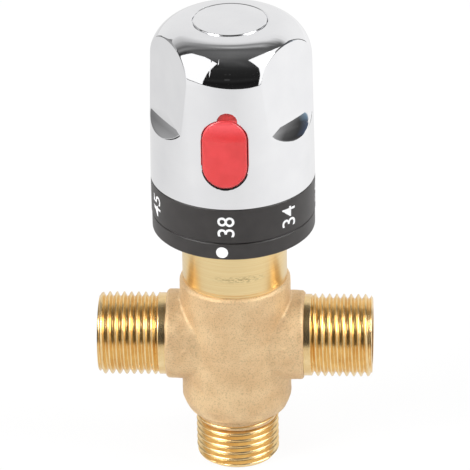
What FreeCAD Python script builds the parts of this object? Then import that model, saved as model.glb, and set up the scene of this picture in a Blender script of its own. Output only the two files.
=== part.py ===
"""Thermostatic mixing valve: cast brass T-body, push-in cartridge, scale rings and chromed knob.

Millimetres, +Z up. The origin is the centre of the outlet's end face, the outlet runs down -Z,
the hot inlet points to -X, the cold inlet to +X, and the knob's push button faces -Y.
"""
import FreeCAD, Part
import math
import os

V = FreeCAD.Vector
UP = V(0, 0, 1)
ORIGIN = V(0, 0, 0)
FULL_TURN = 360.0

# --- threaded pipe ends (G 1/2 parallel, drawn at their major radius) ---
PIPE_R = 10.4775
PIPE_CHAMFER = 1.0
OUTLET_THREAD = 11.1
OUTLET_BORE_R = 7.5
INLET_BORE_R = 7.2
ARM_HALF_LENGTH = 34.6
ARM_THREAD = 17.2
ARM_R = 11.25
ARM_Z = 33.7

# --- cast body and its turned neck ---
BODY_R = 13.95
WAIST_R = 13.85
SHOULDER_MID_R = 12.9
SHOULDER_MID_Z = 13.5
SHOULDER_Z = 17.2
BODY_TOP_Z = 50.8
BODY_TOP_EDGE = 0.7
CAST_EDGE = 0.5
NECK_R = 13.15
NECK_GROOVE_DEPTH = 0.25
NECK_GROOVE_WIDTH = 0.7
NECK_TOP_Z = 68.0

# --- bores inside the body ---
CARTRIDGE_BORE_R = 10.5
CARTRIDGE_SEAT_Z = 17.5
HEAD_THREAD_R = 11.5
HEAD_THREAD_Z = 56.0
PORT_R = 3.0
PORT_OFFSET = 3.9
INLET_DEPTH = 17.0
CHECK_POCKET_R = 6.3
CHECK_POCKET = 3.0

# --- clearances, and how finely springs are drawn ---
SLIP = 0.1
RUNNING = 0.06
COIL_RUNS = 14
WIRE_SIDES = 6

# --- cartridge cage ---
CAGE_BORE_R = 8.0
CAGE_RELIEF = 0.8
CAGE_TOP_Z = 52.0
CAGE_GUIDE_Z = 41.5
BASE_THICKNESS = 1.8
BASE_HOLE_R = 5.0
BASE_LIP_HEIGHT = 1.0
BASE_LIP_THICKNESS = 0.6
WINDOW_COUNT = 6
WINDOW_WIDTH = 4.6
WINDOW_HEIGHT = 4.0
SEAL_R = 0.75
SEAL_GROOVE_WIDTH = 1.9
SEAL_LAND = 3.2
CHAMBER_HALF_HEIGHT = 2.1

# --- shuttle and wax element ---
SHUTTLE_COVER = 1.7
SHUTTLE_WALL = 1.6
SHUTTLE_HOLE_COUNT = 4
SHUTTLE_HOLE_R = 4.4
SHUTTLE_HOLE_DEPTH = 0.8
SHUTTLE_HOLE_SPAN = 60.0
SHUTTLE_GROOVE_WIDTH = 1.2
SHUTTLE_WEB_Z = 31.6
SHUTTLE_WEB = 1.6
SHUTTLE_SEAL_R = 0.5
ELEMENT_BULB_R = 4.0
ELEMENT_BULB_Z = 20.6
ELEMENT_TAPER = 1.2
ELEMENT_FLANGE_R = 4.2
ELEMENT_FLANGE = 1.6
ELEMENT_NECK_R = 2.4
ELEMENT_NECK_TOP_Z = 39.5
ELEMENT_BORE_Z = 32.6
PISTON_R = 1.0
PISTON_Z = 33.6
RETURN_WIRE_R = 0.45
RETURN_COIL_R = 5.75
RETURN_TURNS = 5

# --- adjusting nut and overload plunger ---
NUT_Z = 43.4
NUT_FLANGE_R = 7.2
NUT_FLAT_HALF = 6.0
NUT_FLANGE_TOP_Z = 51.0
NUT_THREAD_R = 6.0
NUT_TOP_Z = 58.0
NUT_CAP = 1.5
NUT_BORE_R = 4.1
CLIP_THICKNESS = 0.6
CLIP_OFFSET = 0.5
CLIP_REACH = 0.9
CLIP_BITE = 0.25
CLIP_GAP = 40.0
PLUNGER_THICKNESS = 1.6
PLUNGER_CUP_DEPTH = 0.8
PLUNGER_STEM_R = 2.0
PLUNGER_STEM = 4.0
OVERLOAD_WIRE_R = 0.55
OVERLOAD_COIL_R = 3.25
OVERLOAD_TURNS = 5

# --- spindle ---
CUP_LIFT = 0.4
CUP_R = 8.6
CUP_FLOOR_Z = 60.0
CUP_TOP_Z = 61.0
STEM_R = 4.6
SPINDLE_TOP_Z = 95.0
SPLINE_LENGTH = 12.2
SPLINE_DEPTH = 0.5
SPLINE_TEETH = 18
TAPPED_R = 1.65
TAPPED_DEPTH = 11.0
STEM_SEAL_R = 0.43
STEM_SEAL_GROOVE = 1.1
STEM_SEAL_Z = 66.0

# --- cartridge head ---
HEAD_HEX_AF = 25.0
HEAD_HEX_HEIGHT = 4.8
HEAD_BOSS_R = 8.6
HEAD_TOP_Z = 81.0
WASHER_THICKNESS = 0.6
HEAD_SEAL_R = 0.5
HEAD_SEAL_Z = 54.0
HEAD_SEAL_GROOVE = 1.2

# --- stop ring, whose lugs follow the knob's bore, and its clip ---
STOP_RING_HEIGHT = 4.5
LIMIT_LUG_REACH = 1.3
LIMIT_LUG_FROM = 8.0
LIMIT_LUG_SPAN = 12.0
END_LUG_GAP = 0.64
END_LUG_BITE = 1.7
END_LUG_HEIGHT = 3.0
LUG_ROOT = 1.0
STOP_CLIP_THICKNESS = 0.7
STOP_CLIP_R = 9.8
STOP_CLIP_BITE = 0.4

# --- knob shell, outside ---
KNOB_Z = 79.9
KNOB_BASE_R = 20.47
KNOB_TAPER = 0.42
KNOB_CROWN_Z = 122.4
KNOB_CROWN_DROP = 3.0
KNOB_CORNER = 9.7
KNOB_REST_ANGLE = -2.0
FLAT_COUNT = 3
FLAT_DEPTH = 2.6
FLAT_DRAFT = 4.4
SCOOP_TOP_Z = 100.5
SCOOP_MID_OUT = 0.85
SCOOP_MID_Z = 97.4
SCOOP_LOW_OUT = 3.0
SCOOP_LOW_Z = 94.35
SCOOP_BACK = 80.0

# --- index ring and scale ring, both a little smaller than the knob ---
INDEX_Z = 65.8
INDEX_TOP_Z = 70.2
INDEX_STEP = 0.14
INDEX_FLOOR = 1.8
INDEX_WEB = 1.8
INDEX_RIM = 1.9
INDEX_COLLAR_R = 15.0
SCALE_Z = 70.35
SCALE_TOP_Z = 79.75
SCALE_STEP = 0.02
SCALE_WALL = 2.25
RING_EDGE = 0.25

# --- knob shell, inside ---
KNOB_WALL = 1.9
SKIRT_Z = 71.2
SKIRT_WALL = 1.6
HUB_RIB_WIDTH = 1.6
HUB_RIB_DEPTH = 4.5
HUB_RIB_HEIGHT = 12.0
STOP_RIB_GAP = 0.3
STOP_RIB_HALF_ANGLE = 8.0
STOP_RIB_ANGLE = 90.0
STOP_RIB_TOP_Z = 85.0
COLD_TURN = 138.0
HOT_TURN = 110.0
STOP_BACKLASH = 0.5

# --- knob hub, screw and cap ---
HUB_FLANGE_R = 15.2
HUB_FLANGE = 2.0
HUB_SLEEVE_R = 6.8
HUB_SLEEVE_Z = 83.0
HUB_NOTCH_HALF_WIDTH = 7.5
HUB_SCREW_HOLE_R = 2.1
TOWER_HALF_WIDTH = 5.0
TOWER_Y = 9.0
TOWER_THICKNESS = 3.0
TOWER_HALF_HEIGHT = 4.6
SCREW_HEAD_R = 3.5
SCREW_HEAD = 2.4
SCREW_HEAD_SLOPE = 0.6
SCREW_LENGTH = 11.0
SCREW_WASHER_R = 4.4
SCREW_WASHER = 0.8
CROSS_WIDTH = 1.0
CROSS_LENGTH = 4.2
CROSS_DEPTH = 1.4
CAP_R = 9.15
CAP_EDGE = 1.0
CAP_COLLAR_R = 8.1
CAP_BOSS_WALL = 2.0
CAP_BOSS_HEIGHT = 4.4
CAP_COLLAR = 5.0
CAP_COLLAR_WALL = 0.9
CAP_GAP = 0.2

# --- push button ---
BUTTON_WIDTH = 11.0
BUTTON_HEIGHT = 18.0
BUTTON_Z = 94.9
BUTTON_GAP = 0.2
BUTTON_PROUD = 0.9
BUTTON_SLOPE_TOP = 1.6
BUTTON_EDGE = 0.6
BUTTON_FLANGE = 1.3
BUTTON_FLANGE_GROW = 1.0
BUTTON_TRAVEL = 2.5
TAB_R = 2.5
TAB_OFFSET = 0.75
TAB_DROP = 0.4
TAB_RECESS = 0.6
GUIDE_PIN_R = 2.0
GUIDE_PIN_CLEARANCE = 0.5
NOSE_HALF_WIDTH = 2.4
NOSE_BACK = 3.74
NOSE_THICKNESS = 2.4
NOSE_LIFT = 0.4
BUTTON_WIRE_R = 0.35
BUTTON_COIL_R = 2.9
BUTTON_TURNS = 4

# --- check valves and strainers in the inlets ---
CHECK_LENGTH = 10.0
CHECK_BORE_R = 5.6
CHECK_LIP = 1.1
CHECK_LIP_R = 3.9
CHECK_HUB_R = 2.6
CHECK_SPOKES = 3
CHECK_SPOKE_WIDTH = 1.2
POPPET_R = 4.7
POPPET_DISC = 1.0
POPPET_STEM_R = 1.0
POPPET_STEM_OVERRUN = 0.3
CHECK_WIRE_R = 0.28
CHECK_COIL_R = 2.1
CHECK_TURNS = 5
STRAINER_RIM = 1.6
STRAINER_RIM_WALL = 1.3
STRAINER_SKIN = 0.45
STRAINER_RISE = 1.2
STRAINER_HOLE_R = 0.5
STRAINER_CIRCLES = ((0.0, 1), (1.9, 6), (3.9, 12))

# --- places worked out from the sizes above ---
HOT_PORT_Z = ARM_Z - PORT_OFFSET
COLD_PORT_Z = ARM_Z + PORT_OFFSET
CAGE_R = CARTRIDGE_BORE_R - SLIP
CAGE_Z = CARTRIDGE_SEAT_Z + BASE_THICKNESS
SHUTTLE_R = CAGE_BORE_R - RUNNING
SHUTTLE_Z = HOT_PORT_Z + WINDOW_HEIGHT / 2 - SHUTTLE_COVER
SHUTTLE_TOP_Z = COLD_PORT_Z - WINDOW_HEIGHT / 2 + SHUTTLE_COVER
CLIP_Z = NUT_Z + CLIP_OFFSET
PLUNGER_Z = CLIP_Z + CLIP_THICKNESS
PLUNGER_TOP_Z = PLUNGER_Z + PLUNGER_THICKNESS
NUT_BORE_TOP_Z = NUT_TOP_Z - NUT_CAP
CUP_Z = CAGE_TOP_Z + CUP_LIFT
STEM_BORE_R = STEM_R + RUNNING
WASHER_TOP_Z = CUP_TOP_Z + WASHER_THICKNESS
FLANGE_Z = NECK_TOP_Z + INDEX_WEB
HEX_TOP_Z = FLANGE_Z + HEAD_HEX_HEIGHT
STOP_RING_Z = HEX_TOP_Z + SLIP
STOP_RING_TOP_Z = STOP_RING_Z + STOP_RING_HEIGHT
STOP_CLIP_Z = STOP_RING_TOP_Z + SLIP
HUB_TOP_Z = SPINDLE_TOP_Z + HUB_FLANGE
SCREW_HEAD_Z = HUB_TOP_Z + SCREW_WASHER
KNOB_TOP_R = KNOB_BASE_R - KNOB_TAPER
FLAT_DISTANCE = KNOB_BASE_R - FLAT_DEPTH
INDEX_R = KNOB_BASE_R - INDEX_STEP
SCALE_R = KNOB_BASE_R - SCALE_STEP
SCALE_BORE_R = SCALE_R - SCALE_WALL
SKIRT_R = SCALE_BORE_R - RUNNING
KNOB_BORE_R = SKIRT_R - SKIRT_WALL
END_LUG_R = KNOB_BORE_R - END_LUG_GAP
STOP_RIB_INNER_R = END_LUG_R - END_LUG_BITE
LIMIT_LUG_R = STOP_RIB_INNER_R - STOP_RIB_GAP
STOP_RING_R = LIMIT_LUG_R - LIMIT_LUG_REACH
NOSE_BACK_R = KNOB_BORE_R - NOSE_BACK
NOSE_FRONT_R = NOSE_BACK_R + NOSE_THICKNESS
CHECK_STEP_X = ARM_HALF_LENGTH - INLET_DEPTH
CHECK_POCKET_X = CHECK_STEP_X - CHECK_POCKET
CHECK_END_X = CHECK_STEP_X + CHECK_LENGTH
CHECK_SEAT_X = CHECK_END_X - CHECK_LIP
POPPET_BACK_X = CHECK_SEAT_X - POPPET_DISC
PIECE_R = INLET_BORE_R - SLIP / 2
CROWN_R = (KNOB_TOP_R ** 2 + KNOB_CROWN_DROP ** 2) / (2 * KNOB_CROWN_DROP)
BUTTON_BACK_R = KNOB_TOP_R - KNOB_WALL - BUTTON_FLANGE
NOSE_Z = STOP_RING_TOP_Z + NOSE_LIFT


# --- shape helpers ---
def lathe(start, *steps):
    """Solid turned about Z from (r, z) points; a pair of points is an arc's middle and end."""
    first = V(start[0], 0, start[1])
    here = first
    edges = []
    for step in steps:
        if isinstance(step[0], tuple):
            middle, end = (V(point[0], 0, point[1]) for point in step)
            edges.append(Part.Arc(here, middle, end).toShape())
        else:
            end = V(step[0], 0, step[1])
            edges.append(Part.LineSegment(here, end).toShape())
        here = end
    edges.append(Part.LineSegment(here, first).toShape())
    return Part.Face(Part.Wire(edges)).revolve(ORIGIN, UP, FULL_TURN)


def rod(radius, low, high):
    return Part.makeCylinder(radius, high - low, V(0, 0, low))


def tube(outer, inner, low, high):
    return rod(outer, low, high).cut(rod(inner, low, high))


def block(x_low, x_high, y_low, y_high, low, high):
    return Part.makeBox(x_high - x_low, y_high - y_low, high - low, V(x_low, y_low, low))


def seal(bore_r, section_r, height):
    """Ring of six-sided section, as a fitted O-ring is squeezed flat against its bore."""
    half = section_r / 2
    middle_r = bore_r - section_r
    return lathe((middle_r - section_r, height - half), (middle_r, height - section_r),
                 (bore_r, height - half), (bore_r, height + half),
                 (middle_r, height + section_r), (middle_r - section_r, height + half))


def ring_cut(outer, inner, centre, width):
    """Cutter for a groove round a shaft, centred on a height."""
    return tube(outer + 1, inner, centre - width / 2, centre + width / 2)


def sector(outer, inner, start, span, low, high):
    """Piece of a ring; angles in degrees run anticlockwise from -Y."""
    wedge = Part.makeCylinder(outer, high - low, V(0, 0, low), UP, span)
    wedge = wedge.cut(rod(inner, low, high))
    return turned(wedge, start - 90)


def turned(shape, angle):
    copy = shape.copy()
    copy.rotate(ORIGIN, UP, angle)
    return copy


def around(shape, count, start=0.0):
    """The same shape repeated evenly round Z."""
    return [turned(shape, start + FULL_TURN * i / count) for i in range(count)]


def along_arm(shape, side):
    """Turn a piece made along Z to lie in the hot (-1) or cold (+1) arm."""
    copy = shape.copy()
    copy.rotate(ORIGIN, V(0, 1, 0), 90 * side)
    copy.translate(V(0, 0, ARM_Z))
    return copy


def coil(mean_r, wire_r, low, high, turns):
    """Spring whose end turns rest on two heights, its wire made of short flat-sided runs."""
    runs = COIL_RUNS * turns
    rise = (high - low - 2 * wire_r) / runs
    rings = []
    for i in range(runs + 1):
        turn = 2 * math.pi * i / COIL_RUNS
        middle_z = low + wire_r + rise * i
        rings.append([])
        for side in range(WIRE_SIDES):
            lean = 2 * math.pi * (side + 0.5) / WIRE_SIDES
            r = mean_r + wire_r * math.cos(lean)
            rings[-1].append(V(r * math.cos(turn), r * math.sin(turn),
                               middle_z + wire_r * math.sin(lean)))
    faces = [flat_face(rings[0]), flat_face(rings[-1])]
    for ring, following in zip(rings, rings[1:]):
        for side in range(WIRE_SIDES):
            near, far = side - 1, side
            faces.append(flat_face([ring[near], ring[far], following[far]]))
            faces.append(flat_face([ring[near], following[far], following[near]]))
    spring = Part.makeShell(faces)
    spring.sewShape()
    return Part.makeSolid(spring)


def flat_face(corners):
    return Part.Face(Part.makePolygon(corners + corners[:1]))


def polygon_bar(radii_angles, low, high):
    """Straight bar whose section is a closed polygon of (radius, degrees) corners."""
    corners = [V(r * math.cos(math.radians(a)), r * math.sin(math.radians(a)), low)
               for r, a in radii_angles]
    face = Part.Face(Part.makePolygon(corners + corners[:1]))
    return face.extrude(V(0, 0, high - low))


def splined_bar(root, tip, teeth, low, high):
    step = FULL_TURN / teeth
    corners = []
    for tooth in range(teeth):
        for radius, share in ((root, 0.1), (tip, 0.3), (tip, 0.6), (root, 0.8)):
            corners.append((radius, (tooth + share) * step))
    return polygon_bar(corners, low, high)


def stadium(width, height, centre_z, y_front, y_back):
    """Upright round-ended prism that runs through the knob's front wall."""
    r = width / 2
    half = height / 2 - r
    prism = block(-r, r, y_front, y_back, centre_z - half, centre_z + half)
    for end in (-half, half):
        prism = prism.fuse(front_disc(r, centre_z + end, y_front, y_back))
    return prism.removeSplitter()


def front_disc(radius, centre_z, y_front, y_back):
    return Part.makeCylinder(radius, y_back - y_front, V(0, y_front, centre_z), V(0, 1, 0))


# --- cast body ---
def pipe_arm():
    cast_end = ARM_HALF_LENGTH - ARM_THREAD
    return lathe((0, 0), (ARM_R, 0), (ARM_R, cast_end - CAST_EDGE),
                 (ARM_R - CAST_EDGE, cast_end),
                 (PIPE_R, cast_end), (PIPE_R, ARM_HALF_LENGTH - PIPE_CHAMFER),
                 (PIPE_R - PIPE_CHAMFER, ARM_HALF_LENGTH), (0, ARM_HALF_LENGTH))


def column():
    lip = BODY_TOP_EDGE
    groove_r = NECK_R - NECK_GROOVE_DEPTH
    return lathe((0, 0), (PIPE_R - PIPE_CHAMFER, 0), (PIPE_R, PIPE_CHAMFER),
                 (PIPE_R, OUTLET_THREAD),
                 ((SHOULDER_MID_R, SHOULDER_MID_Z), (WAIST_R, SHOULDER_Z)),
                 (BODY_R, BODY_TOP_Z - lip), (BODY_R - lip, BODY_TOP_Z),
                 (groove_r, BODY_TOP_Z), (groove_r, BODY_TOP_Z + NECK_GROOVE_WIDTH),
                 (NECK_R, BODY_TOP_Z + NECK_GROOVE_WIDTH), (NECK_R, NECK_TOP_Z), (0, NECK_TOP_Z))


def valve_body():
    casting = column().fuse([along_arm(pipe_arm(), side) for side in (-1, 1)])
    bores = [rod(OUTLET_BORE_R, 0, CARTRIDGE_SEAT_Z),
             rod(CARTRIDGE_BORE_R, CARTRIDGE_SEAT_Z, HEAD_THREAD_Z),
             rod(HEAD_THREAD_R, HEAD_THREAD_Z, NECK_TOP_Z)]
    for side, offset in ((-1, -PORT_OFFSET), (1, PORT_OFFSET)):
        bores.append(along_arm(rod(INLET_BORE_R, CHECK_STEP_X, ARM_HALF_LENGTH), side))
        bores.append(along_arm(rod(CHECK_POCKET_R, CHECK_POCKET_X, CHECK_STEP_X), side))
        port = along_arm(rod(PORT_R, 0, CHECK_POCKET_X), side)
        port.translate(V(0, 0, offset))
        bores.append(port)
    for bore in bores:
        casting = casting.cut(bore)
    return casting


# --- cartridge ---
def seal_heights():
    reach = PORT_R + SEAL_LAND / 2
    return (HOT_PORT_Z - reach, ARM_Z, COLD_PORT_Z + reach)


def cartridge_cage():
    cage = rod(CAGE_R, CAGE_Z, CAGE_TOP_Z).cut(rod(CAGE_BORE_R, CAGE_Z, CAGE_GUIDE_Z))
    guide = flatted_rod(NUT_FLANGE_R + RUNNING, NUT_FLAT_HALF + RUNNING, CAGE_GUIDE_Z, CAGE_TOP_Z)
    cage = cage.cut(guide)
    for height in seal_heights():
        cage = cage.cut(ring_cut(CAGE_R, CARTRIDGE_BORE_R - 2 * SEAL_R, height, SEAL_GROOVE_WIDTH))
    for port_z in (HOT_PORT_Z, COLD_PORT_Z):
        cage = cage.cut(ring_cut(CAGE_R, CAGE_R - CAGE_RELIEF, port_z, 2 * CHAMBER_HALF_HEIGHT))
        window = block(0, CAGE_R + 1, -WINDOW_WIDTH / 2, WINDOW_WIDTH / 2,
                       port_z - WINDOW_HEIGHT / 2, port_z + WINDOW_HEIGHT / 2)
        cage = cage.cut(around(window, WINDOW_COUNT))
    return cage


def flatted_rod(radius, half, low, high):
    """Round bar with two flats, which slides in its guide but cannot turn."""
    return rod(radius, low, high).common(block(-radius, radius, -half, half, low, high))


def cage_base():
    lip_r = CAGE_BORE_R - SLIP / 2
    plate = tube(CAGE_R, BASE_HOLE_R, CARTRIDGE_SEAT_Z, CAGE_Z)
    return plate.fuse(tube(lip_r, lip_r - BASE_LIP_THICKNESS, CAGE_Z, CAGE_Z + BASE_LIP_HEIGHT))


def cage_seals():
    return Part.makeCompound([seal(CARTRIDGE_BORE_R, SEAL_R, z) for z in seal_heights()])


def shuttle():
    inner = SHUTTLE_R - SHUTTLE_WALL
    body = tube(SHUTTLE_R, inner, SHUTTLE_Z, SHUTTLE_TOP_Z)
    web_top = SHUTTLE_WEB_Z + SHUTTLE_WEB
    body = body.fuse(tube(inner, ELEMENT_NECK_R, SHUTTLE_WEB_Z, web_top))
    hole = sector(SHUTTLE_HOLE_R + SHUTTLE_HOLE_DEPTH, SHUTTLE_HOLE_R, 0, SHUTTLE_HOLE_SPAN,
                  SHUTTLE_WEB_Z, web_top)
    body = body.cut(around(hole, SHUTTLE_HOLE_COUNT))
    groove_r = CAGE_BORE_R - 2 * SHUTTLE_SEAL_R
    return body.cut(ring_cut(SHUTTLE_R, groove_r, ARM_Z, SHUTTLE_GROOVE_WIDTH))


def wax_element():
    bulb_r = ELEMENT_BULB_R
    bore_r = PISTON_R + RUNNING
    return lathe((0, ELEMENT_BULB_Z), (bulb_r - ELEMENT_TAPER, ELEMENT_BULB_Z),
                 (bulb_r, ELEMENT_BULB_Z + ELEMENT_TAPER),
                 (bulb_r, SHUTTLE_WEB_Z - ELEMENT_FLANGE),
                 (ELEMENT_FLANGE_R, SHUTTLE_WEB_Z - ELEMENT_FLANGE),
                 (ELEMENT_FLANGE_R, SHUTTLE_WEB_Z), (ELEMENT_NECK_R, SHUTTLE_WEB_Z),
                 (ELEMENT_NECK_R, ELEMENT_NECK_TOP_Z), (bore_r, ELEMENT_NECK_TOP_Z),
                 (bore_r, ELEMENT_BORE_Z), (0, ELEMENT_BORE_Z))


def adjusting_nut():
    nut = flatted_rod(NUT_FLANGE_R, NUT_FLAT_HALF, NUT_Z, NUT_FLANGE_TOP_Z)
    nut = nut.fuse(rod(NUT_THREAD_R, NUT_FLANGE_TOP_Z, NUT_TOP_Z))
    nut = nut.cut(rod(NUT_BORE_R, NUT_Z, NUT_BORE_TOP_Z))
    return nut.cut(rod(NUT_BORE_R + CLIP_BITE, CLIP_Z, PLUNGER_Z))


def overload_plunger():
    plunger = rod(NUT_BORE_R - RUNNING, PLUNGER_Z, PLUNGER_TOP_Z)
    plunger = plunger.fuse(rod(PLUNGER_STEM_R, PLUNGER_TOP_Z, PLUNGER_TOP_Z + PLUNGER_STEM))
    return plunger.cut(rod(PISTON_R, PLUNGER_Z, PLUNGER_Z + PLUNGER_CUP_DEPTH))


def open_clip(outer, inner, low, high):
    """Spring clip: a ring with a gap so that it can be sprung into its groove."""
    return sector(outer, inner, CLIP_GAP / 2, FULL_TURN - CLIP_GAP, low, high)


def spindle():
    body = rod(CUP_R, CUP_Z, CUP_TOP_Z).fuse(rod(STEM_R, CUP_TOP_Z, SPINDLE_TOP_Z - SPLINE_LENGTH))
    body = body.fuse(splined_bar(STEM_R - SPLINE_DEPTH, STEM_R, SPLINE_TEETH,
                                 SPINDLE_TOP_Z - SPLINE_LENGTH, SPINDLE_TOP_Z))
    body = body.cut(rod(NUT_THREAD_R + RUNNING, CUP_Z, CUP_FLOOR_Z))
    body = body.cut(rod(TAPPED_R, SPINDLE_TOP_Z - TAPPED_DEPTH, SPINDLE_TOP_Z))
    body = body.cut(ring_cut(STEM_R, STEM_BORE_R - 2 * STEM_SEAL_R, STEM_SEAL_Z, STEM_SEAL_GROOVE))
    return turned(body, KNOB_REST_ANGLE)


def cartridge_head():
    cavity_r = CUP_R + SLIP
    head = lathe((cavity_r, CAGE_TOP_Z), (CAGE_R, CAGE_TOP_Z), (CAGE_R, HEAD_THREAD_Z),
                 (HEAD_THREAD_R - RUNNING, HEAD_THREAD_Z), (HEAD_THREAD_R - RUNNING, FLANGE_Z),
                 (HEAD_BOSS_R, FLANGE_Z), (HEAD_BOSS_R, HEAD_TOP_Z), (STEM_BORE_R, HEAD_TOP_Z),
                 (STEM_BORE_R, WASHER_TOP_Z), (cavity_r, WASHER_TOP_Z))
    corner_r = HEAD_HEX_AF / 2 / math.cos(math.radians(30))
    hexagon = polygon_bar([(corner_r, 60 * i) for i in range(6)], FLANGE_Z, HEX_TOP_Z)
    head = head.fuse(hexagon.cut(rod(HEAD_BOSS_R, FLANGE_Z, HEX_TOP_Z)))
    clip_centre = STOP_CLIP_Z + STOP_CLIP_THICKNESS / 2
    head = head.cut(ring_cut(HEAD_BOSS_R, HEAD_BOSS_R - STOP_CLIP_BITE, clip_centre,
                             STOP_CLIP_THICKNESS))
    seal_r = CARTRIDGE_BORE_R - 2 * HEAD_SEAL_R
    return head.cut(ring_cut(CAGE_R, seal_r, HEAD_SEAL_Z, HEAD_SEAL_GROOVE))


# --- stops and rings ---
def stop_ring():
    """Fixed ring whose lugs stop the knob at its two ends and mark the safe setting."""
    ring = tube(STOP_RING_R, HEAD_BOSS_R + RUNNING, STOP_RING_Z, STOP_RING_TOP_Z)
    limit_lug = sector(LIMIT_LUG_R, STOP_RING_R - LUG_ROOT, KNOB_REST_ANGLE + LIMIT_LUG_FROM,
                       LIMIT_LUG_SPAN, STOP_RING_Z, STOP_RING_TOP_Z)
    swept = COLD_TURN + HOT_TURN + 2 * (STOP_RIB_HALF_ANGLE + STOP_BACKLASH)
    start = KNOB_REST_ANGLE + STOP_RIB_ANGLE + HOT_TURN + STOP_RIB_HALF_ANGLE + STOP_BACKLASH
    end_lug = sector(END_LUG_R, STOP_RING_R - LUG_ROOT, start, FULL_TURN - swept,
                     STOP_RING_Z, STOP_RING_Z + END_LUG_HEIGHT)
    return ring.fuse([limit_lug, end_lug])


def index_ring():
    edge = RING_EDGE
    rim_r = INDEX_R - INDEX_RIM
    floor_z = INDEX_Z + INDEX_FLOOR
    return lathe((NECK_R + RUNNING, INDEX_Z), (INDEX_R - edge, INDEX_Z), (INDEX_R, INDEX_Z + edge),
                 (INDEX_R, INDEX_TOP_Z - edge), (INDEX_R - edge, INDEX_TOP_Z), (rim_r, INDEX_TOP_Z),
                 (rim_r, floor_z), (INDEX_COLLAR_R, floor_z), (INDEX_COLLAR_R, FLANGE_Z),
                 (HEAD_THREAD_R + SLIP, FLANGE_Z), (HEAD_THREAD_R + SLIP, NECK_TOP_Z),
                 (NECK_R + RUNNING, NECK_TOP_Z))


def scale_ring():
    edge = RING_EDGE
    return lathe((SCALE_BORE_R, SCALE_Z), (SCALE_R - edge, SCALE_Z), (SCALE_R, SCALE_Z + edge),
                 (SCALE_R, SCALE_TOP_Z - edge), (SCALE_R - edge, SCALE_TOP_Z),
                 (SCALE_BORE_R, SCALE_TOP_Z))


# --- knob ---
def crown_height(radius):
    """Height of the knob's domed top at a distance from its axis."""
    return KNOB_CROWN_Z - CROWN_R + math.sqrt(CROWN_R ** 2 - radius ** 2)


def knob_form(inset):
    """Round knob without grips, its faces moved in by a distance: side, shoulder and crown."""
    centre_r = KNOB_TOP_R - KNOB_CORNER
    ball_z = KNOB_CROWN_Z - CROWN_R
    centre_z = ball_z + math.sqrt((CROWN_R - KNOB_CORNER) ** 2 - centre_r ** 2)
    corner = KNOB_CORNER - inset
    crown_r = CROWN_R - inset
    lean = math.atan2(centre_r, centre_z - ball_z)
    middle = math.pi / 4 - lean / 2
    shoulder_mid = (centre_r + corner * math.cos(middle), centre_z + corner * math.sin(middle))
    shoulder_end = (crown_r * math.sin(lean), ball_z + crown_r * math.cos(lean))
    crown_mid = (crown_r * math.sin(lean / 2), ball_z + crown_r * math.cos(lean / 2))
    return lathe((0, KNOB_Z), (KNOB_BASE_R - inset, KNOB_Z), (KNOB_TOP_R - inset, centre_z),
                 (shoulder_mid, shoulder_end), (crown_mid, (0, KNOB_CROWN_Z - inset)))


def outside_flat(inset, low_z):
    """Everything beyond one drafted flat; the flat's own distance is that at the ramp's top."""
    lean = math.tan(math.radians(FLAT_DRAFT))
    top_z = KNOB_CROWN_Z + 1
    low_y, top_y = (inset - FLAT_DISTANCE + (z - SCOOP_TOP_Z) * lean for z in (low_z, top_z))
    side, far = -KNOB_BASE_R, -2 * KNOB_BASE_R
    end = flat_face([V(side, far, low_z), V(side, low_y, low_z),
                     V(side, top_y, top_z), V(side, far, top_z)])
    return end.extrude(V(2 * KNOB_BASE_R, 0, 0))


def grip_cutter():
    """What is taken off for one grip: a drafted flat, and a hollow ramp back out to the round."""
    back = SCOOP_BACK + FLAT_DISTANCE
    ramp = lathe((0, SCOOP_LOW_Z), (back + SCOOP_LOW_OUT, SCOOP_LOW_Z),
                 ((back + SCOOP_MID_OUT, SCOOP_MID_Z), (back, SCOOP_TOP_Z)), (0, SCOOP_TOP_Z))
    ramp.translate(V(0, SCOOP_BACK, 0))
    return outside_flat(0, SCOOP_LOW_Z).cut(ramp)


def knob_hollow():
    """Space inside the knob, a wall's thickness in from the side, the crown and the flats."""
    flat = outside_flat(KNOB_WALL, SCOOP_LOW_Z - KNOB_WALL)
    return knob_form(KNOB_WALL).cut(around(flat, FLAT_COUNT, FULL_TURN / 2 / FLAT_COUNT))


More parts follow.
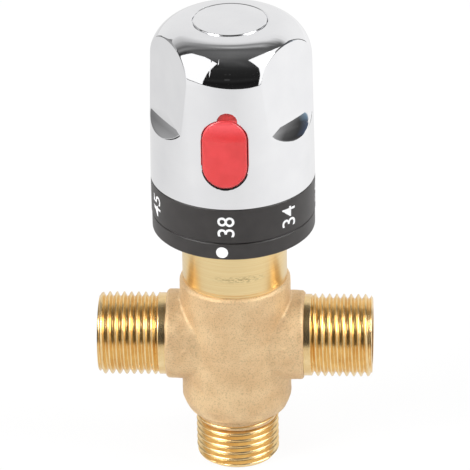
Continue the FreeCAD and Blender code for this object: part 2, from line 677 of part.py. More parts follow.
def knob_shell():
    shell = knob_form(0).cut(around(grip_cutter(), FLAT_COUNT, FULL_TURN / 2 / FLAT_COUNT))
    shell = shell.cut(knob_hollow())
    shell = shell.fuse([tube(SKIRT_R, KNOB_BORE_R, SKIRT_Z, KNOB_Z + KNOB_WALL),
                        tube(KNOB_BASE_R - KNOB_WALL / 2, KNOB_BORE_R, KNOB_Z, KNOB_Z + KNOB_WALL)])
    rib_r = FLAT_DISTANCE - KNOB_WALL
    rib = block(-HUB_RIB_WIDTH / 2, HUB_RIB_WIDTH / 2, -rib_r - KNOB_WALL / 2,
                HUB_RIB_DEPTH - rib_r, HUB_TOP_Z, HUB_TOP_Z + HUB_RIB_HEIGHT)
    shell = shell.fuse(around(rib, FLAT_COUNT, FULL_TURN / 2 / FLAT_COUNT))
    shell = shell.fuse(sector(KNOB_BORE_R + SKIRT_WALL / 2, STOP_RIB_INNER_R,
                              STOP_RIB_ANGLE - STOP_RIB_HALF_ANGLE, 2 * STOP_RIB_HALF_ANGLE,
                              STOP_RING_Z + NOSE_LIFT, STOP_RIB_TOP_Z))
    collar_r = CAP_COLLAR_R + SLIP
    seat_z = cap_seat_z()
    shell = shell.fuse(tube(collar_r + CAP_BOSS_WALL, collar_r, seat_z - CAP_BOSS_HEIGHT, seat_z))
    shell = shell.cut(rod(collar_r, seat_z - CAP_COLLAR - SLIP, KNOB_CROWN_Z))
    shell = shell.cut(rod(CAP_R + CAP_GAP, seat_z, KNOB_CROWN_Z + 1))
    front = -KNOB_BASE_R - 1
    inner_wall = KNOB_BASE_R - 2 * KNOB_WALL
    shell = shell.cut(stadium(BUTTON_WIDTH + 2 * BUTTON_GAP, BUTTON_HEIGHT + 2 * BUTTON_GAP,
                              BUTTON_Z, front, -inner_wall))
    shell = shell.cut(tab_disc(TAB_R, front, -inner_wall))
    return turned(shell, KNOB_REST_ANGLE)


def cap_seat_z():
    return crown_height(CAP_R) - CAP_EDGE


def tab_disc(radius, y_front, y_back):
    """Round of the small tab that stands a little to one side above the button."""
    disc = front_disc(radius, BUTTON_Z + BUTTON_HEIGHT / 2 - TAB_DROP, y_front, y_back)
    disc.translate(V(TAB_OFFSET, 0, 0))
    return disc


def knob_hub():
    hub = rod(HUB_FLANGE_R, SPINDLE_TOP_Z, HUB_TOP_Z)
    hub = hub.cut(block(-HUB_NOTCH_HALF_WIDTH, HUB_NOTCH_HALF_WIDTH, -HUB_FLANGE_R, -TOWER_Y,
                        SPINDLE_TOP_Z, HUB_TOP_Z))
    hub = hub.fuse([rod(HUB_SLEEVE_R, HUB_SLEEVE_Z, HUB_TOP_Z),
                    block(-TOWER_HALF_WIDTH, TOWER_HALF_WIDTH, -TOWER_Y, TOWER_THICKNESS - TOWER_Y,
                          BUTTON_Z - TOWER_HALF_HEIGHT, BUTTON_Z + TOWER_HALF_HEIGHT)])
    hub = hub.cut(splined_bar(STEM_R - SPLINE_DEPTH + RUNNING, STEM_R + RUNNING, SPLINE_TEETH,
                              HUB_SLEEVE_Z, SPINDLE_TOP_Z))
    hub = hub.cut(rod(HUB_SCREW_HOLE_R, SPINDLE_TOP_Z, HUB_TOP_Z))
    return turned(hub, KNOB_REST_ANGLE)


def button():
    """Push button: a round-ended pad, a retaining flange, a guide pin and a nose that meets the lug."""
    front_r = KNOB_TOP_R + BUTTON_PROUD
    top_z = BUTTON_Z + BUTTON_HEIGHT / 2
    low_z = BUTTON_Z - BUTTON_HEIGHT / 2 - 1
    slope_z = top_z - BUTTON_WIDTH / 2
    face = lathe((BUTTON_BACK_R, low_z), (front_r, low_z), (front_r, slope_z),
                 ((front_r - BUTTON_SLOPE_TOP / 4, (slope_z + top_z) / 2),
                  (front_r - BUTTON_SLOPE_TOP, top_z + 1)), (BUTTON_BACK_R, top_z + 1))
    front = -front_r - 1
    pad = face.common(stadium(BUTTON_WIDTH, BUTTON_HEIGHT, BUTTON_Z, front, 0))
    edges = [edge for edge in pad.Edges if edge.BoundBox.YMax < -KNOB_TOP_R * math.cos(math.radians(20))]
    pad = pad.makeFillet(BUTTON_EDGE, edges)
    flange = tube(BUTTON_BACK_R + BUTTON_FLANGE - SLIP, BUTTON_BACK_R, low_z - 1, top_z + 2)
    flange = flange.common(stadium(BUTTON_WIDTH + 2 * BUTTON_FLANGE_GROW,
                                   BUTTON_HEIGHT + 2 * BUTTON_FLANGE_GROW, BUTTON_Z, front, 0))
    tab = tube(KNOB_TOP_R - TAB_RECESS, BUTTON_BACK_R, BUTTON_Z, top_z + TAB_R)
    tab = tab.common(tab_disc(TAB_R - BUTTON_GAP / 2, front, 0))
    pin = front_disc(GUIDE_PIN_R, BUTTON_Z, -BUTTON_BACK_R - BUTTON_FLANGE / 2,
                     -TOWER_Y - BUTTON_TRAVEL - GUIDE_PIN_CLEARANCE)
    arm_z = BUTTON_Z - BUTTON_HEIGHT / 2
    arm = block(-NOSE_HALF_WIDTH, NOSE_HALF_WIDTH, -BUTTON_BACK_R - BUTTON_FLANGE / 2, -NOSE_BACK_R,
                arm_z, arm_z + NOSE_HALF_WIDTH)
    nose = block(-NOSE_HALF_WIDTH, NOSE_HALF_WIDTH, -NOSE_FRONT_R, -NOSE_BACK_R,
                 NOSE_Z, arm_z + NOSE_HALF_WIDTH)
    return turned(pad.fuse([flange, tab, pin, arm, nose]), KNOB_REST_ANGLE)


def button_spring():
    seat_y = math.sqrt(BUTTON_BACK_R ** 2 - (BUTTON_COIL_R + BUTTON_WIRE_R) ** 2)
    spring = coil(BUTTON_COIL_R, BUTTON_WIRE_R, TOWER_Y, seat_y, BUTTON_TURNS)
    spring.rotate(ORIGIN, V(1, 0, 0), 90)
    spring.translate(V(0, 0, BUTTON_Z))
    return turned(spring, KNOB_REST_ANGLE)


def knob_screw():
    top = SCREW_HEAD_Z + SCREW_HEAD
    screw = lathe((0, SCREW_HEAD_Z - SCREW_LENGTH), (TAPPED_R - RUNNING, SCREW_HEAD_Z - SCREW_LENGTH),
                  (TAPPED_R - RUNNING, SCREW_HEAD_Z), (SCREW_HEAD_R, SCREW_HEAD_Z),
                  (SCREW_HEAD_R, top - SCREW_HEAD_SLOPE),
                  (SCREW_HEAD_R - 2 * SCREW_HEAD_SLOPE, top), (0, top))
    half = CROSS_WIDTH / 2
    slot = block(-half, half, -CROSS_LENGTH / 2, CROSS_LENGTH / 2, top - CROSS_DEPTH, top)
    return screw.cut([slot, turned(slot, 90)])


def top_cap():
    """Snap-in cap that follows the crown and hides the screw."""
    crown_mid = (CAP_R / 2, crown_height(CAP_R / 2))
    seat_z = cap_seat_z()
    disc = lathe((0, seat_z), (CAP_R, seat_z), (CAP_R, crown_height(CAP_R)),
                 (crown_mid, (0, KNOB_CROWN_Z)))
    collar = tube(CAP_COLLAR_R, CAP_COLLAR_R - CAP_COLLAR_WALL, seat_z - CAP_COLLAR, seat_z)
    return disc.fuse(collar)


# --- check valves and strainers, made along Z and laid in an arm ---
def check_cage():
    cage = tube(PIECE_R, CHECK_BORE_R, CHECK_STEP_X, CHECK_END_X)
    cage = cage.fuse(tube(CHECK_BORE_R, CHECK_LIP_R, CHECK_SEAT_X, CHECK_END_X))
    spoke = block(0, CHECK_BORE_R + RUNNING, -CHECK_SPOKE_WIDTH / 2, CHECK_SPOKE_WIDTH / 2,
                  CHECK_STEP_X, CHECK_STEP_X + CHECK_LIP)
    cage = cage.fuse(around(spoke, CHECK_SPOKES) + [rod(CHECK_HUB_R, CHECK_STEP_X,
                                                        CHECK_STEP_X + CHECK_LIP)])
    return cage.cut(rod(POPPET_STEM_R + RUNNING, CHECK_STEP_X, CHECK_SEAT_X))


def check_poppet():
    stem_end = CHECK_STEP_X - POPPET_STEM_OVERRUN
    return rod(POPPET_R, POPPET_BACK_X, CHECK_SEAT_X).fuse(
        rod(POPPET_STEM_R, stem_end, POPPET_BACK_X))


def check_spring():
    return coil(CHECK_COIL_R, CHECK_WIRE_R, CHECK_STEP_X + CHECK_LIP, POPPET_BACK_X, CHECK_TURNS)


def strainer():
    """Pressed ring with a raised, punched screen that faces the incoming water."""
    rim_top = CHECK_END_X + STRAINER_RIM
    rim_r = PIECE_R - STRAINER_RIM_WALL
    top_r = rim_r - STRAINER_RISE
    top = rim_top + STRAINER_RISE
    ring = lathe((PIECE_R, CHECK_END_X), (PIECE_R, rim_top), (rim_r, rim_top), (top_r, top),
                 (0, top), (0, top - STRAINER_SKIN), (top_r - STRAINER_SKIN, top - STRAINER_SKIN),
                 (rim_r - STRAINER_SKIN, CHECK_END_X))
    holes = []
    for radius, count in STRAINER_CIRCLES:
        hole = polygon_bar([(STRAINER_HOLE_R, 60 * i) for i in range(6)], CHECK_END_X, top)
        hole.translate(V(radius, 0, 0))
        holes += around(hole, count)
    return ring.cut(holes)


def build_nodes():
    nodes = {
        "valve_body": valve_body(),
        "cartridge_cage": cartridge_cage(),
        "cage_base": cage_base(),
        "cage_seals": cage_seals(),
        "shuttle": shuttle(),
        "shuttle_seal": seal(CAGE_BORE_R, SHUTTLE_SEAL_R, ARM_Z),
        "wax_element": wax_element(),
        "element_piston": rod(PISTON_R, PISTON_Z, PLUNGER_Z + PLUNGER_CUP_DEPTH),
        "return_spring": coil(RETURN_COIL_R, RETURN_WIRE_R, CAGE_Z, SHUTTLE_WEB_Z, RETURN_TURNS),
        "adjusting_nut": adjusting_nut(),
        "overload_plunger": overload_plunger(),
        "overload_spring": coil(OVERLOAD_COIL_R, OVERLOAD_WIRE_R, PLUNGER_TOP_Z, NUT_BORE_TOP_Z,
                                OVERLOAD_TURNS),
        "overload_clip": open_clip(NUT_BORE_R + CLIP_BITE, NUT_BORE_R - CLIP_REACH, CLIP_Z, PLUNGER_Z),
        "spindle": spindle(),
        "spindle_seal": seal(STEM_BORE_R, STEM_SEAL_R, STEM_SEAL_Z),
        "thrust_washer": tube(CUP_R, STEM_R + SLIP, CUP_TOP_Z, WASHER_TOP_Z),
        "cartridge_head": cartridge_head(),
        "head_seal": seal(CARTRIDGE_BORE_R, HEAD_SEAL_R, HEAD_SEAL_Z),
        "stop_ring": stop_ring(),
        "stop_ring_clip": open_clip(STOP_CLIP_R, HEAD_BOSS_R - STOP_CLIP_BITE, STOP_CLIP_Z,
                                    STOP_CLIP_Z + STOP_CLIP_THICKNESS),
        "index_ring": index_ring(),
        "scale_ring": scale_ring(),
        "knob_shell": knob_shell(),
        "knob_hub": knob_hub(),
        "button": button(),
        "button_spring": button_spring(),
        "screw_washer": tube(SCREW_WASHER_R, HUB_SCREW_HOLE_R, HUB_TOP_Z, SCREW_HEAD_Z),
        "knob_screw": knob_screw(),
        "top_cap": top_cap(),
    }
    inlet_pieces = {"check_cage": check_cage(), "check_poppet": check_poppet(),
                    "check_spring": check_spring(), "strainer": strainer()}
    for water, side in (("hot", -1), ("cold", 1)):
        for name, shape in inlet_pieces.items():
            nodes[water + "_" + name] = along_arm(shape, side)
    return nodes


os.makedirs("parts", exist_ok=True)
for node, shape in build_nodes().items():
    shape.exportStep("parts/" + node + ".step")
    print(node, len(shape.Solids), shape.isValid(), round(shape.Volume, 1))
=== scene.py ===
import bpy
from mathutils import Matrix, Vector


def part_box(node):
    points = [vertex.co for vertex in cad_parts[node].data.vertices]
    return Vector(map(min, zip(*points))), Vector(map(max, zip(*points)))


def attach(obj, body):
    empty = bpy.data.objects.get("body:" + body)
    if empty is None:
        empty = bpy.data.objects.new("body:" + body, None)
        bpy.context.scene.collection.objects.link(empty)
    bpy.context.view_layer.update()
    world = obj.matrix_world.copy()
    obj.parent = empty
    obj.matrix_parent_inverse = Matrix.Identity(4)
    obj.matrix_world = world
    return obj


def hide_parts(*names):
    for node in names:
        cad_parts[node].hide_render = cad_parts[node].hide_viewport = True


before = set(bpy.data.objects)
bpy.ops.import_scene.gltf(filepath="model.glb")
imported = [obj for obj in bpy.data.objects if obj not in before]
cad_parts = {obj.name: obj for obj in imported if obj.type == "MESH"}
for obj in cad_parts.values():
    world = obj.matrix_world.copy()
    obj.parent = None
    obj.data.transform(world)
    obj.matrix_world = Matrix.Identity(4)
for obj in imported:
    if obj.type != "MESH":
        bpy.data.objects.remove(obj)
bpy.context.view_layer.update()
import math

import bmesh
import bpy
from mathutils import Matrix, Vector, noise

# Body casting: the column and the stubs of both arms, sand-cast in brass and left as cast.
# It starts as the solid's own shape, is cut off where the turned neck and the threads begin,
# and gets a skin of sand grain, two raised foundry marks and a few casting pits.
MM = 0.001
body_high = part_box("valve_body")[1]
PIPE_R = 10.4775 * MM
ARM_Z = 33.7 * MM
ARM_CAST_X = 17.4 * MM
OUTLET_TOP = 11.1 * MM
NECK_Z = 50.8 * MM
GRAIN_SIZE = 0.34 * MM


def material(name):
    """New node material: (material, nodes, links, its main shader)."""
    mat = bpy.data.materials.new(name)
    mat.use_nodes = True
    tree = mat.node_tree
    return mat, tree.nodes, tree.links, tree.nodes["Principled BSDF"]


def place(nodes, links, scale=(1, 1, 1)):
    """Point on the piece in its own space, stretched by a scale."""
    where = nodes.new("ShaderNodeTexCoord")
    mapping = nodes.new("ShaderNodeMapping")
    mapping.inputs["Scale"].default_value = scale
    links.new(where.outputs["Object"], mapping.inputs["Vector"])
    return mapping.outputs["Vector"]


def grain(nodes, links, scale, detail=2.0, rough=0.5, stretch=(1, 1, 1)):
    """Noise of a given number of cells to the metre."""
    tex = nodes.new("ShaderNodeTexNoise")
    tex.inputs["Scale"].default_value = scale
    tex.inputs["Detail"].default_value = detail
    tex.inputs["Roughness"].default_value = rough
    links.new(place(nodes, links, stretch), tex.inputs["Vector"])
    return tex.outputs["Fac"]


def ramp(nodes, links, source, *stops):
    """Colours or greys laid over a value from 0 to 1."""
    node = nodes.new("ShaderNodeValToRGB")
    elements = node.color_ramp.elements
    while len(elements) < len(stops):
        elements.new(0.5)
    for element, (where, colour) in zip(elements, stops):
        element.position = where
        element.color = (*colour, 1) if isinstance(colour, tuple) else (colour, colour, colour, 1)
    links.new(source, node.inputs["Fac"])
    return node.outputs["Color"]


def mix(nodes, links, fac, first, second, how="MIX"):
    """Two colours, or colour outputs, mixed by a value or a plain share."""
    node = nodes.new("ShaderNodeMix")
    node.data_type = "RGBA"
    node.blend_type = how
    for socket, value in ((node.inputs["Factor"], fac), (node.inputs["A"], first),
                          (node.inputs["B"], second)):
        socket = [s for s in node.inputs if s.name == socket.name and s.enabled][0]
        if isinstance(value, bpy.types.NodeSocket):
            links.new(value, socket)
        else:
            socket.default_value = (*value, 1) if isinstance(value, tuple) else value
    return [s for s in node.outputs if s.enabled][0]


def bump(nodes, links, shader, height, strength, distance, under=None):
    """Fine relief on a shader's normal, on top of an earlier relief."""
    node = nodes.new("ShaderNodeBump")
    node.inputs["Strength"].default_value = strength
    node.inputs["Distance"].default_value = distance
    links.new(height, node.inputs["Height"])
    if under is not None:
        links.new(under, node.inputs["Normal"])
    links.new(node.outputs["Normal"], shader.inputs["Normal"])
    return node.outputs["Normal"]


def cast_brass():
    """Sand-cast brass: matt tan, clouded, with darker specks in its grain."""
    mat, nodes, links, shader = material("cast_brass")
    cloud = ramp(nodes, links, grain(nodes, links, 180), (0.35, (0.69, 0.47, 0.255)),
                 (0.65, (0.78, 0.57, 0.325)))
    speck = ramp(nodes, links, grain(nodes, links, 2600, 3, 0.65), (0.36, 0.55), (0.5, 1.0))
    links.new(mix(nodes, links, 0.55, cloud, speck, "MULTIPLY"), shader.inputs["Base Color"])
    shader.inputs["Metallic"].default_value = 0.55
    shader.inputs["Roughness"].default_value = 0.55
    coarse = bump(nodes, links, shader, grain(nodes, links, 1500, 3, 0.6), 0.5, 0.0002)
    bump(nodes, links, shader, grain(nodes, links, 4200, 2, 0.5), 0.5, 0.0001, coarse)
    return mat


def coat(obj, finish):
    """Gives a piece one finish in place of any that it has."""
    obj.data.materials.clear()
    obj.data.materials.append(finish)


def shown(name, data):
    """New object in the scene, from its mesh, curve, lamp or lens."""
    obj = bpy.data.objects.new(name, data)
    bpy.context.scene.collection.objects.link(obj)
    return obj


def solid_mesh(name, builder):
    """Object made from a new mesh that the builder fills, placed at the origin."""
    mesh = bpy.data.meshes.new(name)
    form = bmesh.new()
    builder(form)
    form.to_mesh(mesh)
    form.free()
    return shown(name, mesh)


def smooth(obj, angle=35):
    """Shades soft, except across edges sharper than the angle."""
    mesh = obj.data
    mesh.shade_smooth()
    mesh.set_sharp_from_angle(angle=math.radians(angle))


def applied(obj):
    """Turns an object's modifiers into its plain mesh."""
    evaluated = obj.evaluated_get(bpy.context.evaluated_depsgraph_get())
    mesh = bpy.data.meshes.new_from_object(evaluated)
    obj.modifiers.clear()
    obj.data = mesh
    return obj


def casting_form(form):
    """The solid's mesh, merged and cut off square at the neck, the outlet and both arms."""
    form.from_mesh(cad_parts["valve_body"].data)
    bmesh.ops.remove_doubles(form, verts=form.verts, dist=1e-6)
    cuts = (((0, 0, NECK_Z), (0, 0, 1)), ((0, 0, OUTLET_TOP), (0, 0, -1)),
            ((ARM_CAST_X, 0, 0), (1, 0, 0)), ((-ARM_CAST_X, 0, 0), (-1, 0, 0)))
    for point, away in cuts:
        every = form.verts[:] + form.edges[:] + form.faces[:]
        bmesh.ops.bisect_plane(form, geom=every, dist=1e-7, plane_co=point, plane_no=away, clear_outer=True)
        rim = [edge for edge in form.edges if edge.is_boundary]
        bmesh.ops.triangle_fill(form, use_beauty=True, edges=rim, normal=away)


casting = solid_mesh("body_casting", casting_form)
grid = casting.modifiers.new("grain", "REMESH")
grid.mode = "VOXEL"
grid.voxel_size = GRAIN_SIZE
applied(casting)


def nearness(point, centre, reach):
    """1 at a place on the casting, falling softly to 0 at a distance."""
    away = (point - Vector(centre)).length / reach
    return max(0.0, 1 - away * away) ** 2


def raised_arc(point, centre, radius, width, start, end):
    """1 on a raised bent bar that lies on the front of an arm, 0 off it; angles in degrees."""
    across, up = point.x - centre[0], point.z - centre[2]
    turn = math.degrees(math.atan2(up, across)) % 360
    off = abs(math.hypot(across, up) - radius) / width
    return max(0.0, 1 - off * off) if start <= turn <= end and point.y < MARK_FRONT_Y else 0.0


PITS = (((4.0, -13.3, 33.9), 0.9, 0.22), ((3.7, -13.4, 30.8), 0.6, 0.16), ((4.2, -13.2, 38.8), 0.8, 0.1),
        ((-2.2, -13.7, 34.0), 0.5, 0.1), ((-1.2, -13.8, 38.4), 0.6, 0.08), ((1.2, -13.8, 34.8), 0.4, 0.08),
        ((-15.9, -9.6, 28.0), 0.9, 0.16), ((-11.0, -8.6, 25.6), 0.9, 0.2), ((-9.9, -9.8, 24.6), 0.8, 0.24),
        ((-8.9, -10.7, 23.6), 0.9, 0.28), ((-8.1, -11.3, 22.8), 0.9, 0.3))
LEFT_MARK = (-11.7 * MM, 0, 33.6 * MM)
RIGHT_MARK = (12.0 * MM, 0, 33.4 * MM)
LEFT_TAIL = (-10.1 * MM, 0, 34.0 * MM)
MARK_FRONT_Y = -7 * MM
ARCS = ((0.3, RIGHT_MARK, 1.9, 0.45, 0, 80), (0.14, RIGHT_MARK, 1.9, 0.45, 80, 360),
        (0.26, LEFT_MARK, 1.2, 0.55, 0, 180), (0.2, LEFT_TAIL, 0.8, 0.4, 200, 360))
CARTRIDGE_BORE_R = 11.6 * MM
CARTRIDGE_BORE_Z = 16.5 * MM
INLET_BORE_R = 8.5 * MM
INLET_BORE_X = 13.5 * MM
OUTLET_BORE_R = 9 * MM
COLUMN_R = 13.85 * MM
COLUMN_FOOT_Z = 17.6 * MM
ROOT_STEP = 0.35 * MM
ARM_R = 11.6 * MM
ARM_START_X = 9 * MM


def skinned(spot, outward):
    """Where a point of the casting's skin ends up, once it has its shoulder, marks, pits and grain."""
    ring = math.hypot(spot.x, spot.y)
    arm = math.hypot(spot.y, spot.z - ARM_Z)
    in_column = ring < CARTRIDGE_BORE_R and spot.z > CARTRIDGE_BORE_Z
    in_inlet = arm < INLET_BORE_R and abs(spot.x) > INLET_BORE_X
    if in_column or in_inlet or ring < OUTLET_BORE_R:
        return spot
    if spot.z < COLUMN_FOOT_Z and ring > PIPE_R - ROOT_STEP:
        start = OUTLET_TOP + 2.7 * MM * max(0.0, -spot.y / ring) ** 0.5
        share = max(0.0, (spot.z - start) / (COLUMN_FOOT_Z - start))
        wanted = PIPE_R + (COLUMN_R - PIPE_R) * share ** 0.5 if share else PIPE_R - ROOT_STEP
        spot = Vector((spot.x * wanted / ring, spot.y * wanted / ring, spot.z))
    height = 0.10 * noise.noise(spot * 170) + 0.06 * noise.noise(spot * 520) + 0.04 * noise.noise(spot * 1300)
    height *= 1.3 if abs(spot.x) > ARM_START_X and arm < ARM_R else 0.8
    for centre, reach, depth in PITS:
        height -= depth * nearness(spot, [c * MM for c in centre], reach * MM)
    for rise, centre, radius, width, start, end in ARCS:
        height += rise * raised_arc(spot, centre, radius * MM, width * MM, start, end)
    return spot + outward * (height * MM)


skin = casting.data.vertices
moved = [skinned(spot, outward) for spot, outward in [(v.co.copy(), v.normal.copy()) for v in skin]]
skin.foreach_set("co", [value for point in moved for value in point])
casting.data.update()
smooth(casting, 60)
coat(casting, cast_brass())
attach(casting, "base")
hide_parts("valve_body")

# Neck: the top of the casting, turned bright on a lathe so that the rings and the cartridge sit true.
# A narrow groove parts it from the cast skin, and the tool has left fine rings and one chatter mark.
NECK_TOP = body_high.z
NECK_R = 13.15 * MM
SIDES = 160
NECK_BORE_R = 10.5 * MM
SEAT_R = 11.5 * MM
SEAT_Z = 56 * MM
GROOVE_R = NECK_R - 0.25 * MM
NECK_FOOT_Z = NECK_Z - 0.5 * MM
CHATTER_Z = (55.0 * MM, 57.4 * MM)
CHATTER_X = (-6 * MM, 9 * MM)


def ring_pairs(count):
    """Neighbouring numbers round a closed ring, the last with the first."""
    return zip(range(count), [*range(1, count), 0])


def turned(form, outline):
    """Closes an outline of (radius, height) points round the Z axis."""
    rows = []
    for radius, height in outline:
        rows.append([form.verts.new((radius * math.cos(2 * math.pi * i / SIDES),
                                     radius * math.sin(2 * math.pi * i / SIDES), height))
                     for i in range(SIDES)])
    for row, following in zip(rows, rows[1:] + rows[:1]):
        for i, j in ring_pairs(SIDES):
            form.faces.new((row[i], row[j], following[j], following[i]))
    bmesh.ops.remove_doubles(form, verts=form.verts, dist=1e-8)
    bmesh.ops.recalc_face_normals(form, faces=form.faces)


def calc(nodes, links, how, *values):
    """Arithmetic on sockets and plain numbers."""
    node = nodes.new("ShaderNodeMath")
    node.operation = how
    for socket, value in zip(node.inputs, values):
        if isinstance(value, bpy.types.NodeSocket):
            links.new(value, socket)
        else:
            socket.default_value = value
    return node.outputs[0]


def spread(nodes, links, value, low, high, start, end):
    """Value between two limits, spread over a range and held at its ends."""
    node = nodes.new("ShaderNodeMapRange")
    node.clamp = True
    for name, number in (("Value", value), ("From Min", low), ("From Max", high),
                         ("To Min", start), ("To Max", end)):
        if isinstance(number, bpy.types.NodeSocket):
            links.new(number, node.inputs[name])
        else:
            node.inputs[name].default_value = number
    return node.outputs["Result"]


def axes(nodes, links):
    """X, Y and Z on the piece in its own space."""
    split = nodes.new("ShaderNodeSeparateXYZ")
    links.new(place(nodes, links), split.inputs["Vector"])
    return split.outputs


def turned_brass():
    """Bright turned brass with fine tool rings round the neck, a little tarnish and a chatter mark."""
    mat, nodes, links, shader = material("turned_brass")
    rings = grain(nodes, links, 40, 3, 0.7, (1, 1, 130))
    tone = ramp(nodes, links, rings, (0.3, (0.86, 0.64, 0.32)), (0.7, (0.94, 0.75, 0.41)))
    where = axes(nodes, links)
    height = spread(nodes, links, where["Z"], *CHATTER_Z, 0.0, 1.0)
    belt = ramp(nodes, links, height, (0.0, 0.0), (0.45, 1.0), (0.6, 1.0), (1.0, 0.0))
    across = spread(nodes, links, where["X"], *CHATTER_X, 0.0, 1.0)
    span = ramp(nodes, links, across, (0.0, 0.0), (0.4, 1.0), (0.75, 1.0), (1.0, 0.0))
    front = calc(nodes, links, "LESS_THAN", where["Y"], 0.0)
    chatter = ramp(nodes, links, grain(nodes, links, 1100, 2, 0.6, (1, 1, 3)), (0.45, 0.0), (0.6, 0.75))
    patch = mix(nodes, links, 1.0, belt, span, "MULTIPLY")
    patch = mix(nodes, links, 1.0, patch, chatter, "MULTIPLY")
    patch = mix(nodes, links, 1.0, patch, front, "MULTIPLY")
    links.new(mix(nodes, links, patch, tone, (0.42, 0.30, 0.14)), shader.inputs["Base Color"])
    shader.inputs["Metallic"].default_value = 1.0
    shader.inputs["Roughness"].default_value = 0.3
    bump(nodes, links, shader, rings, 0.25, 0.00004)
    return mat


brass = turned_brass()
neck = solid_mesh("turned_neck", lambda form: turned(form, (
    (NECK_BORE_R, NECK_FOOT_Z), (GROOVE_R, NECK_FOOT_Z), (GROOVE_R, NECK_Z + 0.6 * MM),
    (NECK_R - 0.1 * MM, NECK_Z + 0.8 * MM), (NECK_R, NECK_Z + 1.1 * MM), (NECK_R, NECK_TOP - 0.3 * MM),
    (NECK_R - 0.3 * MM, NECK_TOP), (SEAT_R, NECK_TOP), (SEAT_R, SEAT_Z), (NECK_BORE_R, SEAT_Z))))
smooth(neck, 30)
coat(neck, brass)
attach(neck, "base")

# Pipe ends: three G 1/2 threads cut on the casting's own brass, with a plain land and a chamfered tip.
# Each is a sleeve whose skin follows the helix, closed by its end face and its bore.
PITCH = 1.8143 * MM
THREAD_DEPTH = 1.162 * MM
ROWS_A_TURN = 16
ROUND = 128
CHAMFER = 1.3 * MM
SKIN_SHARE = 0.9
TIP_SHARE = 0.94
BORE_SHARE = 0.98


def thread_tree(finish):
    """Sleeve along +Z from its root in the casting to its tip, made of one sheet rolled round."""
    tree = bpy.data.node_groups.new("pipe_thread", "GeometryNodeTree")
    face = tree.interface
    face.new_socket("Geometry", in_out="OUTPUT", socket_type="NodeSocketGeometry")
    for name in ("Length", "Land", "Bore", "Chamfer"):
        face.new_socket(name, in_out="INPUT", socket_type="NodeSocketFloat")
    face.new_socket("Rows", in_out="INPUT", socket_type="NodeSocketInt")
    nodes, links = tree.nodes, tree.links
    sizes = nodes.new("NodeGroupInput").outputs
    sheet = nodes.new("GeometryNodeMeshGrid")
    sheet.inputs["Size X"].default_value = 1
    sheet.inputs["Size Y"].default_value = 1
    sheet.inputs["Vertices X"].default_value = ROUND + 1
    links.new(sizes["Rows"], sheet.inputs["Vertices Y"])
    place_on = nodes.new("GeometryNodeInputPosition")
    split = nodes.new("ShaderNodeSeparateXYZ")
    links.new(place_on.outputs[0], split.inputs[0])
    turn = spread(nodes, links, split.outputs["X"], -0.5, 0.5, 0, 2 * math.pi)
    path = calc(nodes, links, "ADD", split.outputs["Y"], 0.5)
    rise = spread(nodes, links, path, 0.0, SKIN_SHARE, 0.0, sizes["Length"])
    fall = spread(nodes, links, path, TIP_SHARE, BORE_SHARE, 0.0, sizes["Length"])
    height = calc(nodes, links, "SUBTRACT", rise, fall)
    phase = calc(nodes, links, "SUBTRACT", calc(nodes, links, "MULTIPLY", height, 2 * math.pi / PITCH), turn)
    wave = calc(nodes, links, "MULTIPLY_ADD", calc(nodes, links, "COSINE", phase), 0.5, -0.5)
    ground = calc(nodes, links, "MULTIPLY", wave, THREAD_DEPTH)
    started = calc(nodes, links, "ADD", sizes["Land"], 0.6 * MM)
    depth = calc(nodes, links, "MULTIPLY", ground, spread(nodes, links, height, sizes["Land"], started, 0, 1))
    land = spread(nodes, links, height, sizes["Land"], started, PIPE_R - 0.13 * MM, PIPE_R)
    screw = calc(nodes, links, "ADD", depth, land)
    tip = calc(nodes, links, "SUBTRACT", sizes["Length"], sizes["Chamfer"])
    cone = spread(nodes, links, height, tip, sizes["Length"], PIPE_R, PIPE_R - 0.6 * MM)
    skin = calc(nodes, links, "MINIMUM", screw, cone)
    low_tip = calc(nodes, links, "SUBTRACT", sizes["Length"], 0.4 * MM)
    even = spread(nodes, links, height, low_tip, sizes["Length"], 0, 1)
    rim = calc(nodes, links, "MULTIPLY", even, calc(nodes, links, "SUBTRACT", PIPE_R - 1.0 * MM, skin))
    skin = calc(nodes, links, "ADD", skin, rim)
    inward = calc(nodes, links, "SUBTRACT", spread(nodes, links, path, SKIN_SHARE, TIP_SHARE, 0, 1),
                  spread(nodes, links, path, BORE_SHARE, 1.0, 0, 1))
    step = calc(nodes, links, "MULTIPLY", inward, calc(nodes, links, "SUBTRACT", sizes["Bore"], skin))
    radius = calc(nodes, links, "ADD", skin, step)
    join = nodes.new("ShaderNodeCombineXYZ")
    links.new(calc(nodes, links, "MULTIPLY", radius, calc(nodes, links, "COSINE", turn)), join.inputs["X"])
    links.new(calc(nodes, links, "MULTIPLY", radius, calc(nodes, links, "SINE", turn)), join.inputs["Y"])
    links.new(height, join.inputs["Z"])
    roll = nodes.new("GeometryNodeSetPosition")
    links.new(sheet.outputs["Mesh"], roll.inputs["Geometry"])
    links.new(join.outputs[0], roll.inputs["Position"])
    weld = nodes.new("GeometryNodeMergeByDistance")
    weld.inputs["Distance"].default_value = 1e-6
    real = nodes.new("GeometryNodeRealizeInstances")
    paint = nodes.new("GeometryNodeSetMaterial")
    paint.inputs["Material"].default_value = finish
    out = nodes.new("NodeGroupOutput")
    chain = (roll, weld, real, paint, out)
    for before, after in zip(chain, chain[1:]):
        links.new(before.outputs[0], after.inputs[0])
    return tree


